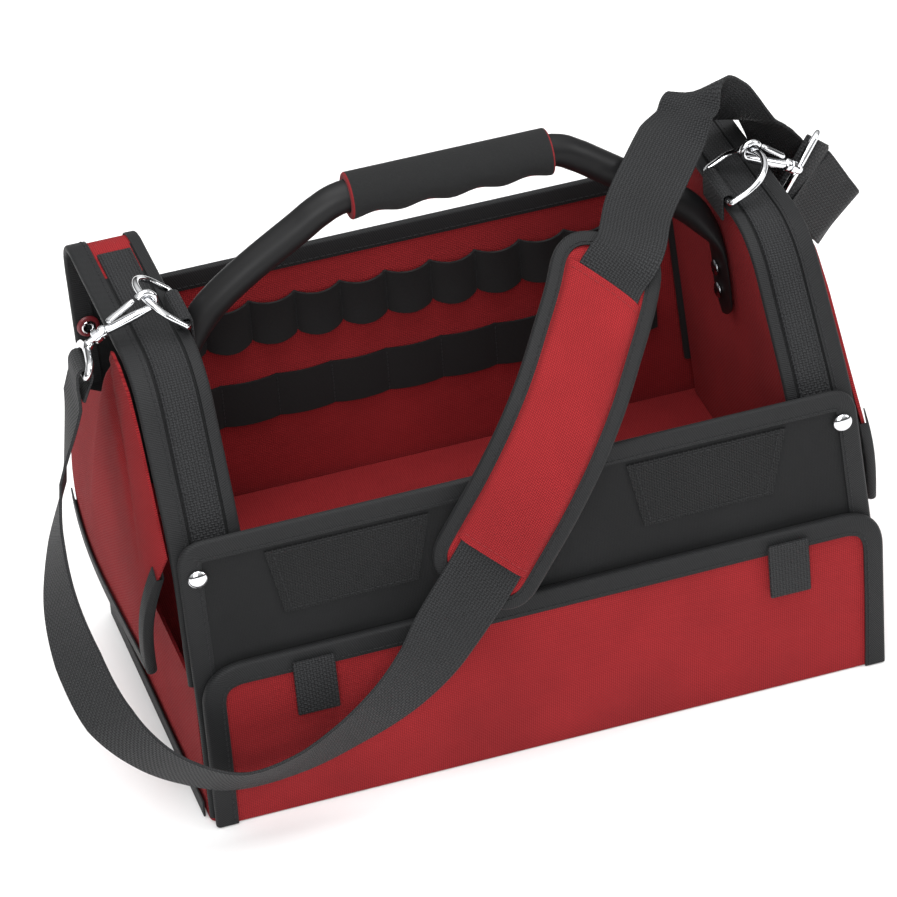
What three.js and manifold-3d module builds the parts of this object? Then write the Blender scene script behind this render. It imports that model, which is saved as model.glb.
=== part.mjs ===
// Open tool bag: a stiff cloth box with a tall back, a low front, two arched ends,
// a steel tube handle, a flap over the lower compartment and a padded shoulder strap.
// Millimetres, +Z up, X along the bag, the front at -Y, the origin under the middle of the base.

import * as THREE from 'three';
import { mergeVertices } from 'three/addons/utils/BufferGeometryUtils.js';
import Module from 'manifold-3d';

const wasm = await Module();
wasm.setup();

// Driving dimensions
const FRONT_Y = -110;
const BACK_Y = 108;
const CLOTH = 2;
const GAP = 0.35;
const BASE_THICK = 3;
const FLOOR_TOP = 70;
const FRONT_TOP = 197;
const BACK_TOP = 236;
const CORNER_R = 16;

// Tape sewn over a cut edge: how far it reaches in, and the thickness of one layer
const TAPE_WIDTH = 12;
const TAPE_THICK = 1;

// End arches, measured outward from the middle of the bag
const ARCH_INNER = 170;
const ARCH_OUTER = 210;
const ARCH_FOOT = 96;
const ARCH_TOP = 283;
const END_PANEL_AT = 172;

// The top of each end is drawn towards the middle of the bag by this much
const LEAN = { left: -4, right: 20 };
const FLAP_SWELL = { left: 1, right: 0.45 };

// Front flap
const FLAP_LEFT = -206;
const FLAP_RIGHT = 210;
const FLAP_TOP = 112;
const FLAP_FOOT = 0.6;
const FLAP_REST_Y = -115;
const FLAP_SWELL_Y = 5;
const FLAP_CORNER_R = 26;

// Handle
const TUBE_R = 9.5;
const GRIP_R = 14;
const GRIP_LEFT = -67;
const GRIP_RIGHT = 55;
const HANDLE_TOP = 332;

// Shoulder strap and pad
const STRAP_WIDTH = 40;
const STRAP_THICK = 1.8;
const PAD_WIDTH = 62;
const PAD_THICK = 9;
const PAD_RIM = 3.2;

const group = new THREE.Group();

function cloth(color, roughness = 0.9) {
  return new THREE.MeshStandardMaterial({ color, roughness, metalness: 0 });
}

function metal(color, roughness) {
  return new THREE.MeshStandardMaterial({ color, roughness, metalness: 1 });
}

const RED = 0xa82a30;
const BLACK = 0x1d1d1f;
const CHROME = 0xd8dadc;
const TUBE_BLACK = 0x18181a;
const FOAM_BLACK = 0x141416;

function add(name, geometry, material) {
  const mesh = new THREE.Mesh(geometry, material);
  mesh.name = name;
  group.add(mesh);
}

function signedVolume(positions, index) {
  const a = new THREE.Vector3();
  const b = new THREE.Vector3();
  const c = new THREE.Vector3();
  let total = 0;
  for (let i = 0; i < index.length; i += 3) {
    a.fromArray(positions, 3 * index[i]);
    b.fromArray(positions, 3 * index[i + 1]);
    c.fromArray(positions, 3 * index[i + 2]);
    total += a.dot(b.cross(c)) / 6;
  }
  return total;
}

// A closed mesh with its faces turned outward
function closedMesh(positions, index) {
  const faces = [];
  const outward = signedVolume(positions, index) > 0;
  for (let i = 0; i < index.length; i += 3) {
    const [a, b, c] = [index[i], index[i + 1], index[i + 2]];
    faces.push(a, outward ? b : c, outward ? c : b);
  }
  const geometry = new THREE.BufferGeometry();
  geometry.setAttribute('position', new THREE.Float32BufferAttribute(positions, 3));
  geometry.setIndex(faces);
  return geometry;
}

// Sweeps a flat outline of [a, b] points through rows that place(row, a, b) sets in space
function sweep(outline, rows, place, closed = false) {
  const vectors = outline.map(([a, b]) => new THREE.Vector2(a, b));
  const section = THREE.ShapeUtils.isClockWise(vectors) ? [...outline].reverse() : outline;
  const sides = section.length;
  const positions = [];
  for (let row = 0; row < rows; row++) {
    for (const [a, b] of section) {
      positions.push(...place(row, a, b).toArray());
    }
  }
  const index = [];
  for (let row = 0; row < (closed ? rows : rows - 1); row++) {
    const here = row * sides;
    const next = ((row + 1) % rows) * sides;
    for (let j = 0; j < sides; j++) {
      const k = (j + 1) % sides;
      index.push(here + j, here + k, next + k, here + j, next + k, next + j);
    }
  }
  if (!closed) {
    const cap = section.map(([a, b]) => new THREE.Vector2(a, b));
    const last = (rows - 1) * sides;
    for (const [i, j, k] of THREE.ShapeUtils.triangulateShape(cap, [])) {
      index.push(i, k, j, last + i, last + j, last + k);
    }
  }
  return closedMesh(positions, index);
}

// A cloth wall of even thickness over a curved surface given by pointAt(u, v)
function sheet(columns, rows, pointAt, thickness) {
  const at = (i, j) => pointAt(
    THREE.MathUtils.clamp(i / columns, 0, 1), THREE.MathUtils.clamp(j / rows, 0, 1));
  const sides = [[], []];
  for (let j = 0; j <= rows; j++) {
    for (let i = 0; i <= columns; i++) {
      const across = at(i + 0.5, j).sub(at(i - 0.5, j));
      const along = at(i, j + 0.5).sub(at(i, j - 0.5));
      const half = across.cross(along).normalize().multiplyScalar(thickness / 2);
      const middle = at(i, j);
      sides[0].push(...middle.clone().add(half).toArray());
      sides[1].push(...middle.clone().sub(half).toArray());
    }
  }
  const width = columns + 1;
  const other = width * (rows + 1);
  const index = [];
  const quad = (a, b, c, d) => index.push(a, b, c, a, c, d);
  for (let j = 0; j < rows; j++) {
    for (let i = 0; i < columns; i++) {
      const p = j * width + i;
      quad(p, p + 1, p + width + 1, p + width);
      quad(other + p, other + p + width, other + p + width + 1, other + p + 1);
    }
  }
  for (let i = 0; i < columns; i++) {
    const top = rows * width + i;
    quad(i, other + i, other + i + 1, i + 1);
    quad(top, top + 1, other + top + 1, other + top);
  }
  for (let j = 0; j < rows; j++) {
    const left = j * width;
    const right = left + columns;
    quad(left, left + width, other + left + width, other + left);
    quad(right, other + right, other + right + width, right + width);
  }
  return closedMesh([...sides[0], ...sides[1]], index);
}

function circle(radius, sides) {
  const points = [];
  for (let i = 0; i < sides; i++) {
    const angle = (2 * Math.PI * i) / sides;
    points.push([radius * Math.cos(angle), radius * Math.sin(angle)]);
  }
  return points;
}

function rectangle(a0, b0, a1, b1) {
  return [[a0, b0], [a1, b0], [a1, b1], [a0, b1]];
}

// Folded edge tape in section: a = 0 at the cut edge and grows inward, b across the cloth
function tapeSection(width, thickness = CLOTH) {
  const inner = thickness / 2 + GAP;
  const outer = inner + TAPE_THICK;
  return [
    [width, inner], [width, outer], [-GAP - TAPE_THICK, outer], [-GAP - TAPE_THICK, -outer],
    [width, -outer], [width, -inner], [-GAP, -inner], [-GAP, inner],
  ];
}

// Points of a polyline whose corners are rounded; rows hold x, y and the corner's reach
function roundedPoints(rows, steps = 5) {
  const path = new THREE.Path();
  path.moveTo(rows[0].x, rows[0].y);
  for (let i = 1; i < rows.length - 1; i++) {
    const corner = new THREE.Vector2(rows[i].x, rows[i].y);
    const toward = (row) => new THREE.Vector2(row.x, row.y).sub(corner).setLength(rows[i].r).add(corner);
    const start = toward(rows[i - 1]);
    const end = toward(rows[i + 1]);
    path.lineTo(start.x, start.y);
    path.quadraticCurveTo(corner.x, corner.y, end.x, end.y);
  }
  path.lineTo(rows.at(-1).x, rows.at(-1).y);
  return path.getPoints(steps);
}

// The same run of points with more of them set in where they are far apart
function closeSpaced(points, spacing) {
  const run = [points[0]];
  for (let i = 1; i < points.length; i++) {
    const count = Math.ceil(points[i].distanceTo(points[i - 1]) / spacing);
    for (let k = 1; k <= count; k++) {
      run.push(points[i - 1].clone().lerp(points[i], k / count));
    }
  }
  return run;
}

// The unit direction to the right of a run of flat points, at each point
function rightOf(points, closed = false) {
  const count = points.length;
  return points.map((point, i) => {
    const before = closed ? points[(i + count - 1) % count] : points[Math.max(i - 1, 0)];
    const after = closed ? points[(i + 1) % count] : points[Math.min(i + 1, count - 1)];
    const along = after.clone().sub(before).normalize();
    return new THREE.Vector2(along.y, -along.x);
  });
}

function leanX(x, z) {
  const drawn = (x < 0 ? LEAN.left : LEAN.right) / ARCH_OUTER;
  return x * (1 - (drawn * Math.max(0, z - FLOOR_TOP)) / (ARCH_TOP - FLOOR_TOP));
}

// Draws the upper part of a cloth wall in with the end it belongs to
function leaned(geometry) {
  const position = geometry.getAttribute('position');
  for (let i = 0; i < position.count; i++) {
    position.setX(i, leanX(position.getX(i), position.getZ(i)));
  }
  return geometry;
}

function plainGeometry(geometry) {
  const copy = geometry.clone();
  copy.deleteAttribute('normal');
  copy.deleteAttribute('uv');
  return mergeVertices(copy, 1e-4);
}

// Base board and the floor of the open compartment

const BASE_FRONT = -111.4;
const BASE_BACK = 110;
const BASE_HALF = 209;
const base = new THREE.Shape(roundedPoints([
  { x: 0, y: BASE_FRONT },
  { x: BASE_HALF, y: BASE_FRONT, r: 6 },
  { x: BASE_HALF, y: BASE_BACK, r: 6 },
  { x: -BASE_HALF, y: BASE_BACK, r: 6 },
  { x: -BASE_HALF, y: BASE_FRONT, r: 6 },
  { x: 0, y: BASE_FRONT },
], 3).slice(1));
add('base_panel', new THREE.ExtrudeGeometry(base, { depth: BASE_THICK, bevelEnabled: false }), cloth(RED));

const FLOOR_HALF_X = 206;
const FLOOR_HALF_Y = 105;
const floorPanel = new THREE.BoxGeometry(2 * FLOOR_HALF_X, 2 * FLOOR_HALF_Y, CLOTH);
floorPanel.translate(0, 0, FLOOR_TOP - CLOTH / 2);
add('floor_panel', floorPanel, cloth(RED));

// Front and back panels: upright walls with taped top corners

const WALL_HALF = 208;
const WALL_FOOT = BASE_THICK + GAP;

// Points along a wall's edge, up one side, over the top and down the other, in X and Z;
// a wall that starts below the floor has a bend at the floor, where the ends begin to lean
function wallEdge(top, foot) {
  const bend = Math.max(foot, FLOOR_TOP);
  return roundedPoints([
    { x: -WALL_HALF, y: foot },
    { x: -WALL_HALF, y: bend, r: 0 },
    { x: -WALL_HALF, y: top, r: CORNER_R },
    { x: WALL_HALF, y: top, r: CORNER_R },
    { x: WALL_HALF, y: bend, r: 0 },
    { x: WALL_HALF, y: foot },
  ]);
}

function uprightWall(top, foot, y) {
  const panel = new THREE.ExtrudeGeometry(
    new THREE.Shape(wallEdge(top, foot)), { depth: CLOTH, bevelEnabled: false });
  panel.rotateX(Math.PI / 2);
  panel.translate(0, y + CLOTH, 0);
  return leaned(panel);
}

function wallTape(top, y) {
  const edge = wallEdge(top, WALL_FOOT);
  const inward = rightOf(edge);
  return leaned(sweep(tapeSection(TAPE_WIDTH), edge.length, (row, a, b) => new THREE.Vector3(
    edge[row].x + inward[row].x * a, y + CLOTH / 2 + b, edge[row].y + inward[row].y * a)));
}

const FRONT_FOOT = FLOOR_TOP + 1;
add('front_panel', uprightWall(FRONT_TOP, FRONT_FOOT, FRONT_Y), cloth(BLACK));
add('front_panel_tape', wallTape(FRONT_TOP, FRONT_Y), cloth(BLACK));
add('back_panel', uprightWall(BACK_TOP, WALL_FOOT, BACK_Y), cloth(RED));
add('back_panel_tape', wallTape(BACK_TOP, BACK_Y), cloth(BLACK));

// Loop patches sewn on the front panel

const PATCH_TOP = 182;
const PATCH_DROP = 45;
const PATCH_AT = 111;
const PATCH_HALF = { top: 49, bottom: 40 };
const PATCH_THICK = 0.9;
for (const side of ['left', 'right']) {
  const middle = leanX(side === 'left' ? -PATCH_AT : PATCH_AT, PATCH_TOP);
  const outline = new THREE.Shape([
    new THREE.Vector2(middle - PATCH_HALF.top, PATCH_TOP),
    new THREE.Vector2(middle - PATCH_HALF.bottom, PATCH_TOP - PATCH_DROP),
    new THREE.Vector2(middle + PATCH_HALF.bottom, PATCH_TOP - PATCH_DROP),
    new THREE.Vector2(middle + PATCH_HALF.top, PATCH_TOP),
  ]);
  const patch = new THREE.ExtrudeGeometry(outline, { depth: PATCH_THICK, bevelEnabled: false });
  patch.rotateX(Math.PI / 2);
  patch.translate(0, FRONT_Y - GAP, 0);
  add(`loop_patch_${side}`, patch, cloth(BLACK));
}

// Front flap over the lower compartment, its tape and its two pull tabs

const flapEdge = closeSpaced(roundedPoints([
  { x: FLAP_LEFT, y: FLAP_FOOT },
  { x: FLAP_LEFT, y: FLAP_TOP, r: FLAP_CORNER_R },
  { x: FLAP_RIGHT, y: FLAP_TOP, r: FLAP_CORNER_R },
  { x: FLAP_RIGHT, y: FLAP_FOOT },
]), 34);
const FLAP_TUCK = 0.9;

function flapY(x, z) {
  const across = (x - FLAP_LEFT) / (FLAP_RIGHT - FLAP_LEFT);
  const up = (z - FLAP_FOOT) / (FLAP_TOP - FLAP_FOOT);
  const arch = (t) => Math.sin(Math.PI * THREE.MathUtils.clamp(t, 0, 1));
  return FLAP_REST_Y - FLAP_SWELL_Y * Math.sqrt(arch(across)) * arch(up);
}

// How far the rounded top corner draws the flap's side in at height z
function flapInset(z) {
  const over = THREE.MathUtils.clamp((z - FLAP_TOP + FLAP_CORNER_R) / FLAP_CORNER_R, 0, 1);
  return FLAP_CORNER_R * (1 - Math.sqrt(1 - over * over));
}

function flapPoint(u, v) {
  const z = THREE.MathUtils.lerp(FLAP_FOOT, FLAP_TOP - FLAP_TUCK, Math.sin((v * Math.PI) / 2));
  const inset = FLAP_TUCK + flapInset(z);
  const x = THREE.MathUtils.lerp(FLAP_LEFT + inset, FLAP_RIGHT - inset, u);
  return new THREE.Vector3(x, flapY(x, z), z);
}

add('front_flap', sheet(14, 8, flapPoint, CLOTH), cloth(RED));

const flapInward = rightOf(flapEdge);
const FLAP_TAPE_CLEAR = CLOTH + 1.2;
add('front_flap_tape', sweep(
  tapeSection(TAPE_WIDTH, FLAP_TAPE_CLEAR), flapEdge.length, (row, a, b) => {
    const x = flapEdge[row].x + flapInward[row].x * a;
    const z = flapEdge[row].y + flapInward[row].y * a;
    return new THREE.Vector3(x, flapY(x, z) + b, z);
  }), cloth(BLACK));

const TAB_WIDTH = 25;
const TAB_THICK = 2.6;
const TAB_TOP = 108;
const TAB_BOTTOM = 72;
const TAB_AT = { left: -141, right: 150 };
const TAB_STAND_OFF = 5.2;
for (const [side, middle] of Object.entries(TAB_AT)) {
  const tabPoint = (u, v) => {
    const x = middle + TAB_WIDTH * (u - 0.5);
    const z = THREE.MathUtils.lerp(TAB_BOTTOM, TAB_TOP, v);
    return new THREE.Vector3(x, flapY(middle, z) - TAB_STAND_OFF, z);
  };
  add(`pull_tab_${side}`, sheet(1, 4, tabPoint, TAB_THICK), cloth(BLACK));
}

// Tool loop bands: elastic sewn down at even stations on the inside of the back panel

const BAND_THICK = 1.6;
const BAND_REST_Y = BACK_Y - 1.4;
const BAND_ENDS = { left: -163, right: 151 };
const LOOP_BANDS = [
  { name: 'tool_loops_upper', top: 207, bottom: 178, loops: 11, bulge: 6.5, sag: 5 },
  { name: 'tool_loops_lower', top: 151, bottom: 121, loops: 9, bulge: 2.2, sag: 1.5 },
];
const STEPS_PER_LOOP = 4;
for (const band of LOOP_BANDS) {
  const bandPoint = (u, v) => {
    const swell = Math.abs(Math.sin(Math.PI * band.loops * u)) ** 0.75;
    const bottom = band.bottom + band.sag * (0.5 - swell);
    return new THREE.Vector3(
      THREE.MathUtils.lerp(BAND_ENDS.left, BAND_ENDS.right, u),
      BAND_REST_Y - band.bulge * swell,
      THREE.MathUtils.lerp(bottom, band.top, v));
  };
  add(band.name, sheet(band.loops * STEPS_PER_LOOP, 1, bandPoint, BAND_THICK), cloth(BLACK));
}

// End arches: the line that each arch follows, seen from the side, as Y and Z

const LEG_Y = 103;
const archLine = closeSpaced(roundedPoints([
  { x: -LEG_Y, y: ARCH_FOOT },
  { x: -LEG_Y, y: 184, r: 30 },
  { x: -60, y: ARCH_TOP, r: 26 },
  { x: LEG_Y, y: ARCH_TOP, r: 26 },
  { x: LEG_Y, y: ARCH_FOOT },
], 4), 50);
const archInward = rightOf(archLine);

// A solid that follows the arch: s is measured outward along X, h off the cloth's middle
function archBand(outline, side, from = 0, to = archLine.length - 1) {
  const sign = side === 'left' ? -1 : 1;
  return leaned(sweep(outline, to - from + 1, (row, s, h) => {
    const point = archLine[from + row];
    const inward = archInward[from + row];
    return new THREE.Vector3(sign * s, point.x - inward.x * h, point.y - inward.y * h);
  }));
}

const INNER_TAPE_WIDTH = 6;
const OUTER_TAPE_WIDTH = 11;
const WEBBING = { inner: 177.5, outer: 197.5, thick: 1.8 };
const WEBBING_END_Y = 74;
const LOWER_END_TOP = ARCH_FOOT - 2;
const END_PANEL_INSET = 3.2;
const endPanelLine = archLine.map(
  (point, i) => point.clone().addScaledVector(archInward[i], END_PANEL_INSET));

function lastBefore(y) {
  return archLine.findLastIndex((point) => point.y > ARCH_TOP - 1 && point.x <= y);
}

for (const side of ['left', 'right']) {
  const sign = side === 'left' ? -1 : 1;
  const strip = rectangle(ARCH_INNER, -CLOTH / 2, ARCH_OUTER, CLOTH / 2);
  add(`arch_strip_${side}`, archBand(strip, side), cloth(RED));

  const outerTape = tapeSection(OUTER_TAPE_WIDTH).map(([a, b]) => [ARCH_OUTER - a, b]);
  add(`arch_outer_tape_${side}`, archBand(outerTape, side), cloth(BLACK));
  const innerTape = tapeSection(INNER_TAPE_WIDTH).map(([a, b]) => [ARCH_INNER + a, b]);
  add(`arch_inner_tape_${side}`, archBand(innerTape, side), cloth(BLACK));

  const lift = CLOTH / 2 + GAP;
  const webbing = rectangle(WEBBING.inner, lift, WEBBING.outer, lift + WEBBING.thick);
  add(`arch_webbing_${side}`, archBand(webbing, side, 0, lastBefore(WEBBING_END_Y)), cloth(BLACK));

  const outline = new THREE.Shape(endPanelLine.concat([
    new THREE.Vector2(LEG_Y - END_PANEL_INSET, FLOOR_TOP + GAP),
    new THREE.Vector2(END_PANEL_INSET - LEG_Y, FLOOR_TOP + GAP),
  ]));
  const wall = new THREE.ExtrudeGeometry(outline, { depth: CLOTH, bevelEnabled: false });
  wall.applyMatrix4(new THREE.Matrix4().makeBasis(
    new THREE.Vector3(0, 1, 0), new THREE.Vector3(0, 0, 1), new THREE.Vector3(1, 0, 0)));
  wall.translate(sign < 0 ? -END_PANEL_AT - CLOTH : END_PANEL_AT, 0, 0);
  add(`end_panel_${side}`, leaned(wall), cloth(RED));

  const lower = new THREE.BoxGeometry(CLOTH, 2 * FLOOR_HALF_Y, LOWER_END_TOP - WALL_FOOT);
  lower.translate(sign * (BASE_HALF - CLOTH / 2), 0, (LOWER_END_TOP + WALL_FOOT) / 2);
  add(`lower_end_${side}`, lower, cloth(RED));
}

// End flaps: each hangs from the outer edge of its arch over the lower end, and leaves a pocket
// open behind it; one row for each station from front to back, as Y and Z of its top edge

const END_FLAP_TOP = [
  { y: -103, z: 184 },
  { y: -95, z: 202 },
  { y: -84, z: 226 },
  { y: -72, z: 252 },
  { y: -58, z: 272 },
  { y: -40, z: 280 },
  { y: -24.5, z: 281 },
  { y: -24, z: 256 },
  { y: 4, z: 234 },
  { y: 60, z: 201 },
  { y: 101, z: 176 },
];
const END_FLAP_FOOT = { z: 98, front: -84, back: 101 };
const END_FLAP_AT = 213.4;
const END_FLAP_OUT = { front: 14, middle: 17, back: 11 };
const END_FLAP_BELLY = 4;
const END_FLAP_DROP = { left: 0, right: 9 };
const END_FLAP_TAPE = 9;
const END_FLAP_TAPE_CLEAR = CLOTH + 2;
const END_FLAP_TUCK = 0.01;

function endFlapStation(u) {
  const place = THREE.MathUtils.clamp(u, 0, 1) * (END_FLAP_TOP.length - 1);
  const before = Math.min(Math.floor(place), END_FLAP_TOP.length - 2);
  const [from, to] = [END_FLAP_TOP[before], END_FLAP_TOP[before + 1]];
  const share = place - before;
  return {
    y: THREE.MathUtils.lerp(from.y, to.y, share),
    z: THREE.MathUtils.lerp(from.z, to.z, share),
  };
}

// A point of the flap on its own side of the bag, before the end leans
function endFlapPoint(side, u, v) {
  const top = endFlapStation(u);
  const middle = 4 * u * (1 - u);
  const edge = THREE.MathUtils.lerp(END_FLAP_OUT.front, END_FLAP_OUT.back, u);
  const foot = THREE.MathUtils.lerp(edge, END_FLAP_OUT.middle, middle);
  const out = foot * (1 - v) ** 0.8 + END_FLAP_BELLY * Math.sin(Math.PI * v);
  const sign = side === 'left' ? -1 : 1;
  return new THREE.Vector3(
    sign * (END_FLAP_AT + FLAP_SWELL[side] * out),
    THREE.MathUtils.lerp(THREE.MathUtils.lerp(END_FLAP_FOOT.front, END_FLAP_FOOT.back, u), top.y, v),
    THREE.MathUtils.lerp(END_FLAP_FOOT.z, top.z - END_FLAP_DROP[side], v));
}

// The taped edge, down the front and back along the foot, as u, v and the way inward
const endFlapEdge = [
  { u: 0, v: 0.86, du: 1, dv: 0 },
  { u: 0, v: 0.6, du: 1, dv: 0 },
  { u: 0, v: 0.3, du: 1, dv: 0 },
  { u: 0, v: 0, du: 1, dv: 1 },
];
const END_FLAP_STATIONS = END_FLAP_TOP.length - 1;
for (let station = 1; station <= END_FLAP_STATIONS; station++) {
  endFlapEdge.push({ u: station / END_FLAP_STATIONS, v: 0, du: 0, dv: 1 });
}

function endFlapTape(side) {
  const length = END_FLAP_FOOT.back - END_FLAP_FOOT.front;
  return sweep(tapeSection(END_FLAP_TAPE, END_FLAP_TAPE_CLEAR), endFlapEdge.length, (row, a, b) => {
    const edge = endFlapEdge[row];
    const drop = endFlapStation(edge.u).z - END_FLAP_FOOT.z;
    const u = edge.u + (edge.du * a) / length;
    const v = edge.v + (edge.dv * a) / drop;
    const point = endFlapPoint(side, u, v);
    const across = endFlapPoint(side, u + 0.02, v).sub(endFlapPoint(side, u - 0.02, v));
    const up = endFlapPoint(side, u, v + 0.02).sub(endFlapPoint(side, u, Math.max(v, 0.02) - 0.02));
    return point.addScaledVector(across.cross(up).normalize(), b);
  });
}

for (const side of ['left', 'right']) {
  const surface = (u, v) => endFlapPoint(
    side, THREE.MathUtils.lerp(END_FLAP_TUCK, 1, u), THREE.MathUtils.lerp(END_FLAP_TUCK, 1, v));
  add(`end_flap_${side}`, leaned(sheet(20, 4, surface, CLOTH)), cloth(RED));
  add(`end_flap_tape_${side}`, leaned(endFlapTape(side)), cloth(BLACK));
}

// Tape around the foot of the bag, on both ends and along the back

const FOOT_TAPE = { half: 211.2, front: -104, back: 112.8, bottom: 0.3, top: 12, thick: 1.2 };
const footLine = roundedPoints([
  { x: -FOOT_TAPE.half, y: FOOT_TAPE.front },
  { x: -FOOT_TAPE.half, y: FOOT_TAPE.back, r: 2 },
  { x: FOOT_TAPE.half, y: FOOT_TAPE.back, r: 2 },
  { x: FOOT_TAPE.half, y: FOOT_TAPE.front },
], 3);
const footInward = rightOf(footLine);
add('foot_tape', sweep(
  rectangle(-FOOT_TAPE.thick / 2, FOOT_TAPE.bottom, FOOT_TAPE.thick / 2, FOOT_TAPE.top), footLine.length,
  (row, a, b) => new THREE.Vector3(
    footLine[row].x + footInward[row].x * a, footLine[row].y + footInward[row].y * a, b)), cloth(BLACK));

// Handle: one bent steel tube, flattened at both ends; rows give its line in X and Z,
// half its thickness in that plane and half its width across it

const HANDLE = [
  { x: -171.3, z: 197, thick: 2.2, wide: 4 },
  { x: -171.4, z: 205, thick: 2.4, wide: 12.5 },
  { x: -171.6, z: 214, thick: 2.4, wide: 14.5 },
  { x: -171.6, z: 238, thick: 2.4, wide: 14.5 },
  { x: -170, z: 250, thick: 4, wide: 13.5 },
  { x: -165.5, z: 262, thick: 7.5, wide: 11 },
  { x: -158, z: 274, thick: TUBE_R, wide: TUBE_R },
  { x: -147, z: 285, thick: TUBE_R, wide: TUBE_R },
  { x: -128, z: 299, thick: TUBE_R, wide: TUBE_R },
  { x: -96, z: 319, thick: TUBE_R, wide: TUBE_R },
  { x: -85, z: 326, thick: TUBE_R, wide: TUBE_R },
  { x: -70, z: HANDLE_TOP, thick: TUBE_R, wide: TUBE_R },
  { x: 58, z: HANDLE_TOP, thick: TUBE_R, wide: TUBE_R },
  { x: 71, z: 325.5, thick: TUBE_R, wide: TUBE_R },
  { x: 84, z: 316, thick: TUBE_R, wide: TUBE_R },
  { x: 118, z: 290, thick: TUBE_R, wide: TUBE_R },
  { x: 138, z: 273, thick: TUBE_R, wide: TUBE_R },
  { x: 147.5, z: 260, thick: 7.5, wide: 11 },
  { x: 154, z: 247, thick: 4, wide: 13.5 },
  { x: 156.3, z: 234, thick: 2.4, wide: 14.5 },
  { x: 158, z: 211, thick: 2.4, wide: 14.5 },
  { x: 158.6, z: 203, thick: 2.4, wide: 12.5 },
  { x: 159.1, z: 195, thick: 2.2, wide: 4 },
];
const handleLine = HANDLE.map((row) => new THREE.Vector2(row.x, row.z));
const handleSide = rightOf(handleLine);
add('handle_tube', sweep(circle(1, 12), HANDLE.length, (row, a, b) => {
  const { thick, wide } = HANDLE[row];
  return new THREE.Vector3(
    handleLine[row].x + handleSide[row].x * thick * a, wide * b,
    handleLine[row].y + handleSide[row].y * thick * a);
}), metal(TUBE_BLACK, 0.4));

// Grip: a foam sleeve with finger hollows along its underside

const GRIP_BORE_R = TUBE_R + 0.7;
const GRIP_STEPS = 12;
const GRIP_FINGERS = 4;
const GRIP_HOLLOW = 2.6;
const GRIP_SIDES = 12;
const GRIP_ROUND = 1.6;
const gripOutline = [
  [GRIP_RIGHT, GRIP_BORE_R], [GRIP_LEFT, GRIP_BORE_R], [GRIP_LEFT, GRIP_R - GRIP_ROUND],
];
for (let i = 0; i <= GRIP_STEPS; i++) {
  const x = THREE.MathUtils.lerp(GRIP_LEFT + GRIP_ROUND, GRIP_RIGHT - GRIP_ROUND, i / GRIP_STEPS);
  gripOutline.push([x, GRIP_R]);
}
gripOutline.push([GRIP_RIGHT, GRIP_R - GRIP_ROUND]);
add('handle_grip', sweep(gripOutline, GRIP_SIDES, (row, x, r) => {
  const angle = (2 * Math.PI * row) / GRIP_SIDES;
  const along = (x - GRIP_LEFT) / (GRIP_RIGHT - GRIP_LEFT);
  const hollow = r > GRIP_BORE_R ? GRIP_HOLLOW * Math.sin(Math.PI * GRIP_FINGERS * along) ** 2 : 0;
  const radius = r - hollow * Math.max(0, -Math.sin(angle));
  return new THREE.Vector3(x, radius * Math.cos(angle), HANDLE_TOP + radius * Math.sin(angle));
}, true), cloth(FOAM_BLACK));

// Rivets: domes on the handle's ends and the front corners, ringed eyelets on the back corners

const UP = new THREE.Vector3(0, 1, 0);

function turned(profile, segments, at, axis) {
  const points = profile.map(([r, h]) => new THREE.Vector2(r, h));
  const piece = plainGeometry(new THREE.LatheGeometry(points, segments));
  piece.applyQuaternion(new THREE.Quaternion().setFromUnitVectors(UP, axis.clone().normalize()));
  piece.translate(at.x, at.y, at.z);
  return piece;
}

function dome(radius, height) {
  return [[0, 0], [radius, 0], [0.92 * radius, 0.45 * height], [0.6 * radius, 0.85 * height], [0, height]];
}

const HANDLE_RIVET = { r: 5, height: 2.4 };
const HANDLE_RIVETS = [
  { name: 'handle_rivet_left_upper', x: -168.8, z: 229, inward: 1 },
  { name: 'handle_rivet_left_lower', x: -168.7, z: 211, inward: 1 },
  { name: 'handle_rivet_right_upper', x: 153.9, z: 227, inward: -1 },
  { name: 'handle_rivet_right_lower', x: 155.1, z: 211, inward: -1 },
];
for (const rivet of HANDLE_RIVETS) {
  const at = new THREE.Vector3(rivet.x, 0, rivet.z);
  const axis = new THREE.Vector3(rivet.inward, 0, 0);
  add(rivet.name, turned(dome(HANDLE_RIVET.r, HANDLE_RIVET.height), 8, at, axis), metal(CHROME, 0.25));
}

const CORNER_RIVET = { r: 6, height: 3.4 };
const FORWARD = new THREE.Vector3(0, -1, 0);
const CORNER_RIVETS = { left: { x: -201, z: 175 }, right: { x: 189, z: 177 } };
const CORNER_RIVET_Y = FRONT_Y - 1.75;
for (const [side, { x, z }] of Object.entries(CORNER_RIVETS)) {
  const at = new THREE.Vector3(x, CORNER_RIVET_Y, z);
  const head = turned(dome(CORNER_RIVET.r, CORNER_RIVET.height), 12, at, FORWARD);
  add(`corner_rivet_${side}`, head, metal(CHROME, 0.15));
}

const EYELET_AT = { s: 203, y: 100.2, z: 219 };
const EYELET = [[2, 0], [7, 0], [7, 1], [5, 1.3], [4.2, 2.3], [2, 2.3], [2, 0]];
for (const side of ['left', 'right']) {
  const x = leanX(side === 'left' ? -EYELET_AT.s : EYELET_AT.s, EYELET_AT.z);
  const at = new THREE.Vector3(x, EYELET_AT.y, EYELET_AT.z);
  add(`back_eyelet_${side}`, turned(EYELET, 12, at, FORWARD), metal(CHROME, 0.25));
}

// D-rings, each on a short webbing loop at the top of its arch, and the snap hooks on them

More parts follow.
